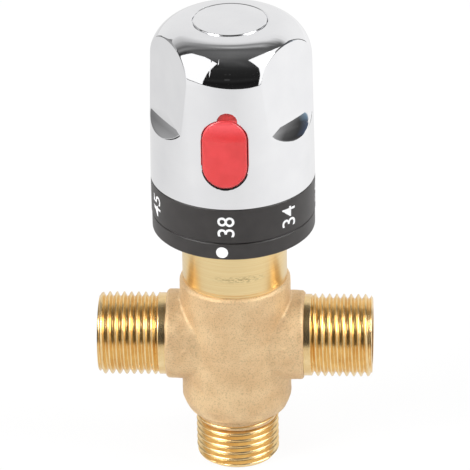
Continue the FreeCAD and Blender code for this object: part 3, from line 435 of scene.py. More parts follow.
def thread_brass():
    """Cut threads: bright brass, clouded with a little darker tarnish."""
    mat, nodes, links, shader = material("thread_brass")
    stain = grain(nodes, links, 260, 3, 0.6)
    tone = ramp(nodes, links, stain, (0.3, (0.86, 0.60, 0.28)), (0.7, (0.97, 0.75, 0.41)))
    links.new(tone, shader.inputs["Base Color"])
    shader.inputs["Metallic"].default_value = 1.0
    shader.inputs["Roughness"].default_value = 0.26
    bump(nodes, links, shader, grain(nodes, links, 900, 3, 0.6), 0.2, 0.00006)
    return mat


threads = thread_tree(thread_brass())
socket_ids = {item.name: item.identifier for item in threads.interface.items_tree if item.in_out == "INPUT"}


def pipe_end(name, length, land, bore, laid):
    """One threaded sleeve, made along Z and then laid in its place on the body."""
    obj = solid_mesh(name, lambda form: None)
    maker = obj.modifiers.new("thread", "NODES")
    maker.node_group = threads
    sizes = {"Length": length, "Land": land, "Bore": bore, "Chamfer": CHAMFER,
             "Rows": int(length / PITCH * ROWS_A_TURN / SKIN_SHARE)}
    for size, value in sizes.items():
        maker[socket_ids[size]] = value
    applied(obj)
    obj.data.transform(laid)
    form = bmesh.new()
    form.from_mesh(obj.data)
    bmesh.ops.recalc_face_normals(form, faces=form.faces)
    form.to_mesh(obj.data)
    form.free()
    smooth(obj, 50)
    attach(obj, "base")


ARM_LENGTH = body_high.x - ARM_CAST_X
for name, side in (("hot_thread", -1), ("cold_thread", 1)):
    pipe_end(name, ARM_LENGTH, 1.7 * MM, 7.2 * MM,
             Matrix.Translation((side * ARM_CAST_X, 0, ARM_Z)) @ Matrix.Rotation(side * math.pi / 2, 4, "Y"))
pipe_end("outlet_thread", 16.0 * MM, 0.2 * MM, 7.5 * MM,
         Matrix.Translation((0, 0, 16.0 * MM)) @ Matrix.Rotation(math.pi, 4, "X"))

# Cartridge and the other pieces that the body, the inlets and the knob hide.
# They keep the solids' shapes: moulded plastic, turned brass, stainless springs, rubber seals, copper.


def plain_finish(name, colour, metallic, roughness, cells=700, speckle=0.06):
    """Even finish with slight cloudiness in its colour and a fine surface grain."""
    mat, nodes, links, shader = material(name)
    low = tuple(c * (1 - speckle) for c in colour)
    high = tuple(min(1, c * (1 + speckle)) for c in colour)
    links.new(ramp(nodes, links, grain(nodes, links, cells, 3), (0.3, low), (0.7, high)),
              shader.inputs["Base Color"])
    shader.inputs["Metallic"].default_value = metallic
    shader.inputs["Roughness"].default_value = roughness
    bump(nodes, links, shader, grain(nodes, links, cells * 4, 2), 0.15, 0.00003)
    return mat


inner_finishes = {
    plain_finish("cage_plastic", (0.70, 0.69, 0.65), 0.0, 0.45): (
        "cartridge_cage", "cage_base", "shuttle", "hot_check_cage", "cold_check_cage",
        "hot_check_poppet", "cold_check_poppet"),
    plain_finish("washer_plastic", (0.86, 0.86, 0.84), 0.0, 0.35): ("thrust_washer",),
    plain_finish("hub_plastic", (0.045, 0.045, 0.047), 0.0, 0.42): ("knob_hub", "stop_ring"),
    plain_finish("seal_rubber", (0.016, 0.016, 0.017), 0.0, 0.55): (
        "cage_seals", "shuttle_seal", "spindle_seal", "head_seal"),
    plain_finish("spring_steel", (0.62, 0.62, 0.61), 1.0, 0.28): (
        "return_spring", "overload_spring", "button_spring", "hot_check_spring", "cold_check_spring",
        "overload_clip", "stop_ring_clip", "element_piston", "knob_screw", "screw_washer",
        "hot_strainer", "cold_strainer"),
    plain_finish("element_copper", (0.80, 0.42, 0.27), 1.0, 0.30): ("wax_element",),
    brass: ("adjusting_nut", "overload_plunger", "spindle", "cartridge_head"),
}
for finish, names in inner_finishes.items():
    for name in names:
        coat(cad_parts[name], finish)

# Index ring and scale ring: black moulded plastic, satin from the mould, with a white pad-printed
# index dot below and white temperatures above that read from the bottom up.
SCALE_R = 20.45 * MM
INDEX_R = 20.33 * MM
PRINT_LIFT = 0.012 * MM
FIGURE_SIZE = 6.0 * MM
FIGURE_WEIGHT = 0.02 * MM
FIGURE_Z = 74.95 * MM


def ring_plastic():
    """Black moulded plastic: charcoal in the light, satin, with a very fine spark-eroded grain."""
    mat, nodes, links, shader = material("black_plastic")
    links.new(ramp(nodes, links, grain(nodes, links, 300, 3), (0.3, (0.023, 0.020, 0.019)),
                   (0.7, (0.030, 0.026, 0.025))), shader.inputs["Base Color"])
    shader.inputs["Roughness"].default_value = 0.42
    bump(nodes, links, shader, grain(nodes, links, 5200, 2), 0.12, 0.00003)
    return mat


def print_white():
    """White pad-printing ink, slightly uneven at the edges of its cover."""
    mat, nodes, links, shader = material("print_white")
    links.new(ramp(nodes, links, grain(nodes, links, 1400, 3), (0.3, (0.78, 0.78, 0.79)),
                   (0.7, (0.90, 0.90, 0.91))), shader.inputs["Base Color"])
    shader.inputs["Roughness"].default_value = 0.5
    return mat


black = ring_plastic()
white = print_white()
for name in ("index_ring", "scale_ring"):
    coat(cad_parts[name], black)


def wrapped(obj, radius, angle, height, turn_up):
    """Bends a flat mark drawn in XY round the ring, its middle at an angle from the front."""
    form = bmesh.new()
    form.from_mesh(obj.data)
    bmesh.ops.triangulate(form, faces=form.faces)
    bmesh.ops.subdivide_edges(form, edges=form.edges, cuts=2)
    for vertex in form.verts:
        across, up = (-vertex.co.y, vertex.co.x) if turn_up else (vertex.co.x, vertex.co.y)
        bearing = angle + across / radius
        out = radius + PRINT_LIFT
        vertex.co = (out * math.sin(bearing), -out * math.cos(bearing), height + up)
    bmesh.ops.recalc_face_normals(form, faces=form.faces)
    form.normal_update()
    for face in form.faces:
        middle = face.calc_center_median()
        if face.normal.x * middle.x + face.normal.y * middle.y < 0:
            face.normal_flip()
    form.to_mesh(obj.data)
    form.free()
    obj.data.materials.append(white)
    return obj


def figure(text):
    """Plain sans-serif number, drawn flat and centred, as a mesh."""
    curve = bpy.data.curves.new("scale_" + text, "FONT")
    curve.body = text
    curve.align_x = "CENTER"
    curve.align_y = "CENTER"
    curve.size = FIGURE_SIZE
    curve.offset = FIGURE_WEIGHT
    curve.resolution_u = 4
    lettering = shown("scale_" + text, curve)
    mesh = bpy.data.meshes.new_from_object(lettering.evaluated_get(bpy.context.evaluated_depsgraph_get()))
    bpy.data.objects.remove(lettering)
    return shown("scale_" + text, mesh)


for text, angle in (("45", -64), ("38", -1.2), ("34", 46), ("30", 92), ("25", 138), ("50", -110)):
    mark = wrapped(figure(text), SCALE_R, math.radians(angle), FIGURE_Z, True)
    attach(mark, "knob")


DOT_STEP = 0.25 * MM
DOT_STEPS = 6
DOT_SIDES = 40
DOT_Z = 67.85 * MM


def disc(form):
    """Round print in narrow rings, so that it bends round with the surface."""
    turns = [math.tau * i / DOT_SIDES for i in range(DOT_SIDES)]
    rows = [[form.verts.new((step * DOT_STEP * math.cos(turn), step * DOT_STEP * math.sin(turn), 0))
             for turn in turns] for step in range(1, DOT_STEPS + 1)]
    form.faces.new(rows[0])
    for inner, outer in zip(rows, rows[1:]):
        for i in range(DOT_SIDES):
            form.faces.new((inner[i - 1], outer[i - 1], outer[i], inner[i]))


dot = wrapped(solid_mesh("index_dot", disc), INDEX_R, math.radians(-5), DOT_Z, False)
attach(dot, "base")

# Knob: a moulded shell plated in bright chrome, with three grips, and the snap-in cap on top.
# Its skin is drawn afresh, with rows laid along every edge, so that the plating mirrors cleanly;
# the inside, with its skirt, ribs and cap seat, stays as the solid has it.
KNOB_Z = 79.9 * MM
KNOB_BASE_R = 20.47 * MM
KNOB_TOP_R = 20.05 * MM
CROWN_Z = 122.4 * MM
CROWN_DROP = 3.0 * MM
SHOULDER_R = 9.7 * MM
REST_TURN = math.radians(-2)
GRIP_TURNS = [REST_TURN + math.radians(turn) for turn in (60, 180, -60)]
FLAT_OUT = 17.87 * MM
FLAT_DRAFT = math.tan(math.radians(4.4))
RAMP_BACK = 80 * MM
RAMP_LOW_Z = 94.35 * MM
RAMP_TOP_Z = 100.5 * MM
RAMP_HUB_OUT = 10.019 * MM
RAMP_HUB_Z = 101.5806 * MM
RAMP_R = 10.0771 * MM
SOFT_EDGE = 0.24 * MM
CAP_HOLE_R = 9.36 * MM
CAP_R = 9.13 * MM
CAP_SEAT_Z = 120.786 * MM
WINDOW_R = 5.72 * MM
WINDOW_Z = (91.4 * MM, 98.4 * MM)
TAB_HOLE_R = 2.52 * MM
TAB_PLACE = (0.75 * MM, 103.5 * MM)
RIM = 0.45 * MM
BAND_ROWS = (60, 14, 30, 34)
COARSE_ROWS = (16, 4, 10, 10)
COARSE_TURNS = 120
HALVINGS = 40
GRIP_REACH = math.radians(45)
BUTTON_REACH = math.radians(25)
HOLLOW_INSET = 0.9 * MM
HOLLOW_FOOT_Z = 79 * MM
CORE_INSET = 0.5 * MM
CORE_FOOT_Z = 70 * MM
TOOL_NEAR = 16.7 * MM
TOOL_FAR = 25 * MM
TOOL_TOP_Z = 130 * MM


def chrome_plate():
    """Bright chrome: mirror smooth, with the faintest ripple and dulling from handling."""
    mat, nodes, links, shader = material("chrome_plate")
    links.new(ramp(nodes, links, grain(nodes, links, 120, 2), (0.3, (0.86, 0.86, 0.875)),
                   (0.7, (0.90, 0.90, 0.91))), shader.inputs["Base Color"])
    shader.inputs["Metallic"].default_value = 1.0
    shader.inputs["Roughness"].default_value = 0.04
    bump(nodes, links, shader, grain(nodes, links, 60, 2), 0.02, 0.0002)
    return mat


crown_r = (KNOB_TOP_R ** 2 + CROWN_DROP ** 2) / (2 * CROWN_DROP)
ball_z = CROWN_Z - crown_r
shoulder_in = KNOB_TOP_R - SHOULDER_R
shoulder_z = ball_z + math.sqrt((crown_r - SHOULDER_R) ** 2 - shoulder_in ** 2)
lean = math.atan2(shoulder_in, shoulder_z - ball_z)
side_run = shoulder_z - KNOB_Z
shoulder_run = SHOULDER_R * (math.pi / 2 - lean)
whole_run = side_run + shoulder_run + crown_r * lean


def meridian(run, inset=0.0):
    """Radius and height of the round knob after a run up its side, shoulder and crown."""
    if run < side_run:
        return KNOB_BASE_R + (KNOB_TOP_R - KNOB_BASE_R) * run / side_run - inset, KNOB_Z + run
    if run < side_run + shoulder_run:
        turn = (run - side_run) / SHOULDER_R
        reach = SHOULDER_R - inset
        return shoulder_in + reach * math.cos(turn), shoulder_z + reach * math.sin(turn)
    turn = (whole_run - run) / crown_r
    return (crown_r - inset) * math.sin(turn), ball_z + (crown_r - inset) * math.cos(turn)


def from_grip(turn):
    """Angle from the middle of the nearest grip, from -60 to 60 degrees, in radians."""
    third = 2 * math.pi / 3
    return (turn - GRIP_TURNS[0] + third / 2) % third - third / 2


def flat_radius(turn, height):
    """Radius at which a ray from the knob's axis meets a drafted flat."""
    return (FLAT_OUT - (height - RAMP_TOP_Z) * FLAT_DRAFT) / math.cos(turn)


def ramp_radius(turn, height):
    """Radius at which a ray from the knob's axis meets the hollow ramp under a flat."""
    drop = max(RAMP_LOW_Z, min(RAMP_TOP_Z, height)) - RAMP_HUB_Z
    reach = RAMP_BACK + FLAT_OUT + RAMP_HUB_OUT - math.sqrt(RAMP_R ** 2 - drop ** 2)
    return math.sqrt(reach ** 2 - (RAMP_BACK * math.sin(turn)) ** 2) - RAMP_BACK * math.cos(turn)


def soft_least(first, second):
    """The smaller of two radii, rounded a little where they meet."""
    share = max(SOFT_EDGE - abs(first - second), 0.0) / SOFT_EDGE
    return min(first, second) - share * share * SOFT_EDGE / 4


def crossing(value, low, high):
    """Where a falling value passes zero."""
    for _ in range(HALVINGS):
        middle = (low + high) / 2
        low, high = (middle, high) if value(middle) > 0 else (low, middle)
    return (low + high) / 2


def fold_run(turn):
    """Run up the side to where a grip's ramp turns into its flat."""
    return crossing(lambda run: ramp_radius(turn, KNOB_Z + run) - flat_radius(turn, KNOB_Z + run),
                    RAMP_LOW_Z - KNOB_Z, RAMP_TOP_Z - KNOB_Z)


def over_flat(turn, run):
    """How far the round knob stands out over a flat."""
    radius, height = meridian(run)
    return radius - flat_radius(turn, height)


def widest_run(turn):
    """Run at which a flat, which leans in as it rises, is cut deepest into the round."""
    return side_run + SHOULDER_R * math.atan(FLAT_DRAFT / math.cos(turn))


grip_half = crossing(lambda turn: over_flat(turn, fold_run(turn)), 0.0, math.radians(50))
grip_widest = crossing(lambda turn: over_flat(turn, widest_run(turn)), 0.0, math.radians(50))


def feature_runs(turn):
    """Runs to a grip's lower edge, its fold and its arch; beside a grip they fan out evenly."""
    if abs(turn) < grip_half:
        fold = fold_run(turn)
        low = crossing(lambda run: ramp_radius(turn, KNOB_Z + run) - meridian(run)[0], 0.0, fold)
        return low, fold, crossing(lambda run: over_flat(turn, run), fold, whole_run)
    reach = (min(abs(turn), grip_widest) - grip_half) / (grip_widest - grip_half)
    edge = widest_run(min(abs(turn), grip_widest))
    if abs(turn) < grip_widest:
        fold = crossing(lambda run: -over_flat(turn, run), fold_run(grip_half) - 1 * MM, edge)
        return fold - 2 * MM * reach, fold, crossing(lambda run: over_flat(turn, run), edge, whole_run)
    share = min(1.0, (abs(turn) - grip_widest) / math.radians(4))
    corner = (edge - 2 * MM, edge, edge)
    spread_out = (RAMP_LOW_Z - KNOB_Z, RAMP_TOP_Z - KNOB_Z, side_run)
    return tuple(near + (far - near) * share for near, far in zip(corner, spread_out))


def window_gap(across, height):
    """Distance from the edge of the button's window, below 0 inside it."""
    beside = height - max(WINDOW_Z[0], min(WINDOW_Z[1], height))
    tab = math.hypot(across - TAB_PLACE[0], height - TAB_PLACE[1]) - TAB_HOLE_R
    return min(math.hypot(across, beside) - WINDOW_R, tab)


def skin_point(turn, run, inset):
    """Point on the finished skin, or a wall's inset inside it, at a bearing from the front."""
    grip = from_grip(turn)
    radius, height = meridian(run, inset)
    if abs(grip) < GRIP_REACH:
        cut = flat_radius(grip, height)
        if height < RAMP_TOP_Z:
            cut = max(cut, ramp_radius(grip, height))
        radius = soft_least(radius, cut - inset)
    if inset == 0.0:
        height -= max(0.0, RIM - max(0.0, radius - CAP_HOLE_R)) ** 2 / (2 * RIM) if run > side_run else 0.0
        aside = (turn - REST_TURN + math.pi) % (2 * math.pi) - math.pi
        if abs(aside) < BUTTON_REACH and height < shoulder_z:
            gap = window_gap(radius * math.sin(aside), height)
            radius -= max(0.0, RIM - max(0.0, gap)) ** 2 / (2 * RIM)
    return radius * math.sin(turn), -radius * math.cos(turn), height


def skin_solid(form, inset, turns, band_rows, foot_z):
    """Closed solid inside the skin, with rows laid along the grips' edges, down to a flat foot."""
    rings = [[] for _ in range(sum(band_rows) + 2)]
    hole_run = crossing(lambda run: meridian(run)[0] - CAP_HOLE_R, 0.0, whole_run)
    for turn in turns:
        stops = (0.0, *feature_runs(from_grip(turn)), hole_run)
        runs = []
        for start, end, count in zip(stops, stops[1:], band_rows):
            runs += [start + (end - start) * (1 - math.cos(math.pi * i / count)) / 2 for i in range(count)]
        runs += [hole_run, (hole_run + whole_run) / 2]
        points = [skin_point(turn, run, inset) for run in runs]
        if foot_z < KNOB_Z:
            points[0] = (points[0][0], points[0][1], foot_z)
        for ring, point in zip(rings, points):
            ring.append(form.verts.new(point))
    for ring, above in zip(rings, rings[1:]):
        for i, j in ring_pairs(len(ring)):
            form.faces.new((ring[i], ring[j], above[j], above[i]))
    top = form.verts.new((0, 0, CROWN_Z - inset - RIM / 2 * (inset == 0.0)))
    foot = form.verts.new((0, 0, foot_z if foot_z < KNOB_Z else KNOB_Z))
    for i, j in ring_pairs(len(turns)):
        form.faces.new((rings[-1][i], rings[-1][j], top))
        form.faces.new((rings[0][j], rings[0][i], foot))
    bmesh.ops.remove_doubles(form, verts=form.verts, dist=1e-8)
    bmesh.ops.recalc_face_normals(form, faces=form.faces)


def upright(form, outline, low, high):
    """Straight prism between two heights."""
    ends = [[form.verts.new((x, y, z)) for x, y in outline] for z in (low, high)]
    for i, j in ring_pairs(len(outline)):
        form.faces.new((ends[0][i], ends[0][j], ends[1][j], ends[1][i]))
    form.faces.new(ends[0])
    form.faces.new(ends[1])
    bmesh.ops.recalc_face_normals(form, faces=form.faces)


def circle(radius, centre=(0, 0), count=256):
    """Outline of a circle."""
    return [(centre[0] + radius * math.cos(2 * math.pi * i / count),
             centre[1] + radius * math.sin(2 * math.pi * i / count)) for i in range(count)]


def carved(obj, tool, how):
    """The object after a tool is taken off it, added to it, or kept in common; the tool is used up."""
    cutter = obj.modifiers.new(how, "BOOLEAN")
    cutter.operation = how
    cutter.solver = "MANIFOLD"
    cutter.object = tool
    applied(obj)
    bpy.data.objects.remove(tool)
    return obj


def even_turns(count):
    """Bearings spaced evenly all round."""
    return [2 * math.pi * i / count for i in range(count)]


def fine_turns():
    """Bearings for the skin's columns, closer at the grips' upright edges and round the window."""
    turns = {round(turn, 6) for turn in even_turns(300)}
    turns |= {round(REST_TURN + math.radians(step / 2), 6) % round(2 * math.pi, 6) for step in range(-44, 45)}
    for grip in GRIP_TURNS:
        for side in (-1, 1):
            turns |= {round(grip + side * (grip_half + (grip_widest - grip_half) * i / 20), 6)
                      % round(2 * math.pi, 6) for i in range(-4, 23)}
    return sorted(turns)


def solid_copy(form):
    """The solid's own shell, with its doubled corners merged."""
    form.from_mesh(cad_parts["knob_shell"].data)
    bmesh.ops.remove_doubles(form, verts=form.verts, dist=1e-7)


def coarse_solid(name, inset, foot_z):
    """Plainer solid inside the skin, to carve with."""
    turns = even_turns(COARSE_TURNS)
    return solid_mesh(name, lambda form: skin_solid(form, inset, turns, COARSE_ROWS, foot_z))


knob = solid_mesh("chromed_knob", lambda form: skin_solid(form, 0.0, fine_turns(), BAND_ROWS, KNOB_Z))
hollow = coarse_solid("hollow", HOLLOW_INSET, HOLLOW_FOOT_Z)
core = coarse_solid("core", CORE_INSET, CORE_FOOT_Z)
inside = carved(solid_mesh("inside", solid_copy), core, "INTERSECT")
carved(knob, hollow, "DIFFERENCE")
carved(knob, inside, "UNION")


def stadium(radius, low, high):
    """Outline of an upright round-ended slot, as (across, height) points."""
    return ([(radius * math.cos(math.pi * i / 72), high + radius * math.sin(math.pi * i / 72))
             for i in range(73)]
            + [(-radius * math.cos(math.pi * i / 72), low - radius * math.sin(math.pi * i / 72))
               for i in range(73)])


def front_tool(name, outline):
    """Prism that enters the knob's front square to the button."""
    tool = solid_mesh(name, lambda form: upright(form, outline, TOOL_NEAR, TOOL_FAR))
    tool.data.transform(Matrix.Rotation(REST_TURN, 4, "Z") @ Matrix.Rotation(math.pi / 2, 4, "X"))
    return tool


carved(knob, front_tool("window", stadium(WINDOW_R, *WINDOW_Z)), "DIFFERENCE")
carved(knob, front_tool("tab_hole", circle(TAB_HOLE_R, TAB_PLACE, 96)), "DIFFERENCE")
carved(knob, solid_mesh("cap_hole", lambda form: upright(form, circle(CAP_HOLE_R), CAP_SEAT_Z, TOOL_TOP_Z)),
       "DIFFERENCE")


def cap_outline():
    """Half section of the cap: its snap collar, its seat, its rounded rim and its crown."""
    seat = [(7.2 * MM, CAP_SEAT_Z - 5 * MM), (8.1 * MM, CAP_SEAT_Z - 5 * MM), (8.1 * MM, CAP_SEAT_Z),
            (CAP_R, CAP_SEAT_Z)]
    rim = [(CAP_R - 0.3 * MM * (1 - math.cos(math.radians(a))), 0.3 * MM * (1 - math.sin(math.radians(a))))
           for a in (0, 20, 40, 60, 80, 90)]
    top = [(CAP_R * i / 20, 0.0) for i in range(19, -1, -1)]
    skin = [(radius, ball_z + math.sqrt(crown_r ** 2 - radius ** 2) - drop) for radius, drop in rim + top]
    return seat + skin + [(0, CAP_SEAT_Z), (7.2 * MM, CAP_SEAT_Z)]


cap = solid_mesh("chromed_cap", lambda form: turned(form, cap_outline()))
chrome = chrome_plate()
for piece, node in ((knob, "knob_shell"), (cap, "top_cap")):
    smooth(piece)
    coat(piece, chrome)
    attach(piece, "knob")
    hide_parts(node)

# Safety button: red moulded plastic with a soft gloss, in its window in the knob's front.
# It keeps the solid's shape; its colour changes with height, with a painted highlight over its sloping
# shoulder and painted shade on its recessed tab.
SHADE_Z = (97.0 * MM, 104.5 * MM)


def button_plastic_painted_light():
    """Rosy red moulding with a soft gloss, with a pale painted highlight on its sloping shoulder and deep red
    painted shade on its tab.
    """
    mat, nodes, links, shader = material("red_plastic")
    base = ramp(nodes, links, grain(nodes, links, 260, 2), (0.3, (0.61, 0.025, 0.026)),
                (0.7, (0.68, 0.034, 0.037)))
    height = spread(nodes, links, axes(nodes, links)["Z"], *SHADE_Z, 0.0, 1.0)
    # Painted highlight: the sloping shoulder is coloured paler pink where light would catch it.
    shoulder_highlight = ramp(nodes, links, height, (0.0, 0.0), (0.35, 0.0), (0.75, 0.55), (0.90, 0.2))
    shoulder_highlight = mix(nodes, links, shoulder_highlight, base, (0.88, 0.15, 0.17))
    # Painted shade: the recessed tab is coloured a deeper red where shade would fall on it.
    tab_shade = ramp(nodes, links, height, (0.90, 0.0), (0.93, 1.0))
    links.new(mix(nodes, links, tab_shade, shoulder_highlight, (0.50, 0.012, 0.010)), shader.inputs["Base Color"])
    shader.inputs["Roughness"].default_value = 0.28
    shader.inputs["Coat Weight"].default_value = 0.3
    bump(nodes, links, shader, grain(nodes, links, 900, 2), 0.05, 0.00004)
    return mat


coat(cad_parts["button"], button_plastic_painted_light())

# Studio: a white table in a white room lit by two softboxes. What the chrome mirrors is drawn by
# painted cards round the valve: beams on the ceiling, a dark figure in front, white walls beside it.


def looked_at(nodes, links):
    """1 where the camera, a mirror or clear material looks at a thing, 0 where the thing only lights."""
    ray = nodes.new("ShaderNodeLightPath")
    seen = calc(nodes, links, "MAXIMUM", ray.outputs["Is Camera Ray"], ray.outputs["Is Glossy Ray"])
    return calc(nodes, links, "MAXIMUM", seen, ray.outputs["Is Transmission Ray"])


def studio_surface(name, colour, glow):
    """Matt surface that looks its own colour to the eye and in mirrors, and still takes shadows."""
    mat, nodes, links, shader = material(name)
    shader.inputs["Base Color"].default_value = (*colour, 1)
    shader.inputs["Roughness"].default_value = 0.9
    shader.inputs["Specular IOR Level"].default_value = 0.0
    light = nodes.new("ShaderNodeEmission")
    light.inputs["Color"].default_value = (*colour, 1)
    blend = nodes.new("ShaderNodeMixShader")
    links.new(calc(nodes, links, "MULTIPLY", looked_at(nodes, links), glow), blend.inputs["Fac"])
    links.new(shader.outputs[0], blend.inputs[1])
    links.new(light.outputs[0], blend.inputs[2])
    links.new(blend.outputs[0], nodes["Material Output"].inputs["Surface"])
    return mat


def staged(name, corners, faces, finish):
    """Piece of the studio from its corners and faces."""
    mesh = bpy.data.meshes.new(name)
    mesh.from_pydata(corners, [], faces)
    obj = shown(name, mesh)
    mesh.materials.append(finish)
    return obj


table = staged("table", [(-1.2, -0.9, 0), (1.2, -0.9, 0), (1.2, 1.6, 0), (-1.2, 1.6, 0)], [(0, 1, 2, 3)],
               studio_surface("table_white", (1.0, 1.0, 1.0), 0.92))
table.visible_glossy = False

# Cards that are seen only in the mirrors. Each is a curtain of patches, shaded corner by corner.
# Places are measured from the middle of the knob; shades run from 0 to 255 as they look in the chrome.
KNOB_MIDDLE = Vector((0, 0, 0.11))
CHROME_SHARE = 0.88
painted, nodes, links, shader = material("painted_card")
paint = nodes.new("ShaderNodeAttribute")
paint.attribute_name = "shade"
glow = nodes.new("ShaderNodeEmission")
links.new(paint.outputs["Color"], glow.inputs["Color"])
links.new(glow.outputs[0], nodes["Material Output"].inputs["Surface"])


def card(name, *rows):
    """Curtain through rows of corners, each of them (x, y, z, shade)."""
    corners = [KNOB_MIDDLE + Vector(corner[:3]) for row in rows for corner in row]
    width = len(rows[0])
    faces = [(i, i + 1, i + 1 + width, i + width) for i in range(len(corners) - width) if (i + 1) % width]
    obj = staged(name, corners, faces, painted)
    shades = obj.data.attributes.new("shade", "FLOAT_COLOR", "POINT")
    for value, corner in zip(shades.data, (corner for row in rows for corner in row)):
        tone = corner[3] if isinstance(corner[3], tuple) else (corner[3],) * 3
        value.color = (*((part / 255) ** 2.2 / CHROME_SHARE for part in tone), 1)
    obj.visible_camera = obj.visible_diffuse = obj.visible_shadow = False


CARD_REACH = 0.7


def toward(turn, rise, shade):
    """Corner in a direction: degrees from the front toward the right, and degrees up."""
    turn, rise = math.radians(turn), math.radians(rise)
    return (CARD_REACH * math.sin(turn) * math.cos(rise), -CARD_REACH * math.cos(turn) * math.cos(rise),
            CARD_REACH * math.sin(rise), shade)


def round_card(name, *rows):
    """Card through rows of directions, each of them (turn, rise, shade)."""
    card(name, *([toward(*corner) for corner in row] for row in rows))


# The ceiling over the knob: pale at the back, with two brown beams, and dark toward the front.
card("ceiling", *([(x, y, 1.0, shade) for x, shade in row] for y, row in (
    (1.10, ((-2.5, 212), (-0.7, 212), (-0.3, 226), (0.0, 225), (0.35, 225), (0.8, 227), (2.5, 227))),
    (0.90, ((-2.5, 188), (-0.7, 192), (-0.3, 216), (0.0, 222), (0.35, 223), (0.8, 220), (2.5, 212))),
    (0.76, ((-2.5, 175), (-0.7, 179), (-0.3, 200), (0.0, 212), (0.35, 218), (0.8, 165), (2.5, 120))),
    (0.66, ((-2.5, 150), (-0.7, 156), (-0.3, 188), (0.0, 194), (0.35, 190), (0.8, 100), (2.5, 90))),
    (0.57, ((-2.5, 140), (-0.7, 143), (-0.3, 146), (0.0, 134), (0.35, 134), (0.8, 88), (2.5, 85))),
    (0.53, ((-2.5, 130), (-0.7, 138), (-0.3, 138), (0.0, 128), (0.35, 132), (0.8, 85), (1.2, 80))),
    (0.45, ((-2.5, 100), (-0.7, 112), (-0.3, 131), (0.0, 140), (0.35, 158), (0.8, 80), (0.98, 75))),
    (0.39, ((-2.5, 95), (-0.7, 99), (-0.3, 129), (0.0, 180), (0.35, 166), (0.6, 85), (0.86, 80))),
    (0.33, ((-2.5, 118), (-0.7, 118), (-0.3, 118), (0.0, 152), (0.35, 116), (0.6, 85), (0.81, 82))),
    (0.26, ((-2.5, 120), (-0.7, 122), (-0.3, 107), (0.0, 94), (0.35, 86), (0.6, 85), (0.77, 84))),
    (0.20, ((-2.5, 90), (-0.7, 92), (-0.3, 84), (0.0, 88), (0.35, 88), (0.6, 88), (0.74, 86))),
    (0.12, ((-2.5, 45), (-0.95, 50), (-0.6, 86), (0.0, 98), (0.35, 95), (0.5, 94), (0.68, 92))),
    (0.04, ((-2.5, 70), (-0.95, 75), (-0.6, 88), (0.0, 102), (0.35, 98), (0.5, 98), (0.63, 98))),
    (0.02, ((-0.72, 88), (-0.6, 88), (-0.5, 90), (0.0, 102), (0.35, 98), (0.5, 98), (0.62, 98))),
    (-0.20, ((-0.47, 75), (-0.4, 88), (-0.3, 93), (0.0, 96), (0.2, 90), (0.35, 87), (0.50, 87))),
    (-0.40, ((-0.38, 72), (-0.3, 80), (-0.2, 84), (0.0, 80), (0.2, 74), (0.3, 72), (0.40, 72))),
    (-0.63, ((-0.285, 50), (-0.2, 60), (-0.1, 66), (0.1, 67), (0.3, 74), (0.45, 66), (0.66, 60))),
    (-1.00, ((-0.52, 36), (-0.3, 42), (-0.1, 46), (0.2, 48), (0.5, 48), (0.8, 48), (1.10, 45))))))

# A dark figure in front, the white walls beside it and the pale wall behind.
card("front_figure", *([(x, -1.0, z, shade) for x, z in row] for shade, row in (
    (50, ((-0.52, 1.0), (-0.1, 1.0), (0.4, 1.0), (1.10, 1.0))),
    (42, ((-0.57, 0.75), (-0.1, 0.75), (0.4, 0.75), (1.06, 0.75))),
    (40, ((-0.60, 0.59), (-0.1, 0.59), (0.4, 0.59), (1.03, 0.59))),
    (36, ((-0.63, 0.30), (-0.1, 0.30), (0.4, 0.30), (0.97, 0.30))),
    (42, ((-0.66, 0.14), (-0.1, 0.14), (0.4, 0.14), (0.93, 0.14))),
    (30, ((-0.69, 0.00), (-0.1, 0.00), (0.4, 0.00), (0.90, 0.00))),
    (36, ((-0.71, -0.19), (-0.26, -0.24), (0.08, -0.282), (0.86, -0.33))))))
card("figure_marks", *([(x, -0.98, z, shade) for x in (-0.10, -0.045)]
                       for z, shade in ((0.52, 58), (0.44, 40))))
card("figure_mark_right", *([(x, -0.98, z, 56) for x in (0.01, 0.06)] for z in (0.53, 0.46)))
card("figure_mark_low", *([(x, -0.98, z, 62) for x in (-0.09, 0.03)] for z in (0.24, 0.16)))
card("white_wall", *([(x, -1.05, z, 255) for x in (-4.0, 4.0)] for z in (-0.16, 1.05)))
card("white_ceiling", *([(x, y, 1.05, 255) for x in (-4.0, 4.0)] for y in (-1.05, 0.50)))
card("back_wall", *([(x, 1.3, z, shade) for x, shade in row] for z, row in (
    (1.45, ((-2.6, 216), (-0.7, 220), (0.0, 224), (0.7, 228), (2.6, 236))),
    (0.40, ((-2.6, 222), (-0.7, 224), (0.0, 226), (0.7, 232), (2.6, 238))),
    (-0.11, ((-2.6, 222), (-0.7, 224), (0.0, 226), (0.7, 234), (2.6, 240))))))

# The table as the mirrors see it, with a bent front edge and the thin dark line beyond it.
EDGE = ((-1.58, -0.74), (-0.92, -0.81), (-0.40, -0.58), (-0.12, -0.46), (0.03, -0.39), (0.18, -0.34),
        (0.37, -0.35), (1.60, -0.35))
TABLE_Z = -KNOB_MIDDLE.z + 0.001
card("table_seen", *([(x, y, TABLE_Z, shade) for (x, y), shade in zip(places, shades)] for places, shades in (
    ([(x, 1.29) for x, y in EDGE], (206, 206, 208, 216, 224, 232, 238, 240)),
    ([(x, 0.05) for x, y in EDGE], (207, 207, 209, 217, 226, 238, 240, 240)),
    ([(x, -0.12) for x, y in EDGE], (230, 231, 233, 228, 222, 236, 239, 240)),
    ([(x, -0.24) for x, y in EDGE], (232, 232, 234, 226, 219, 233, 238, 238)),
    (EDGE, (234, 234, 234, 222, 214, 226, 236, 236)))))
card("table_edge", [(x, y, TABLE_Z, 35) for x, y in EDGE],
     [(x, y, TABLE_Z + 0.022 * math.hypot(x, y), 35) for x, y in EDGE])

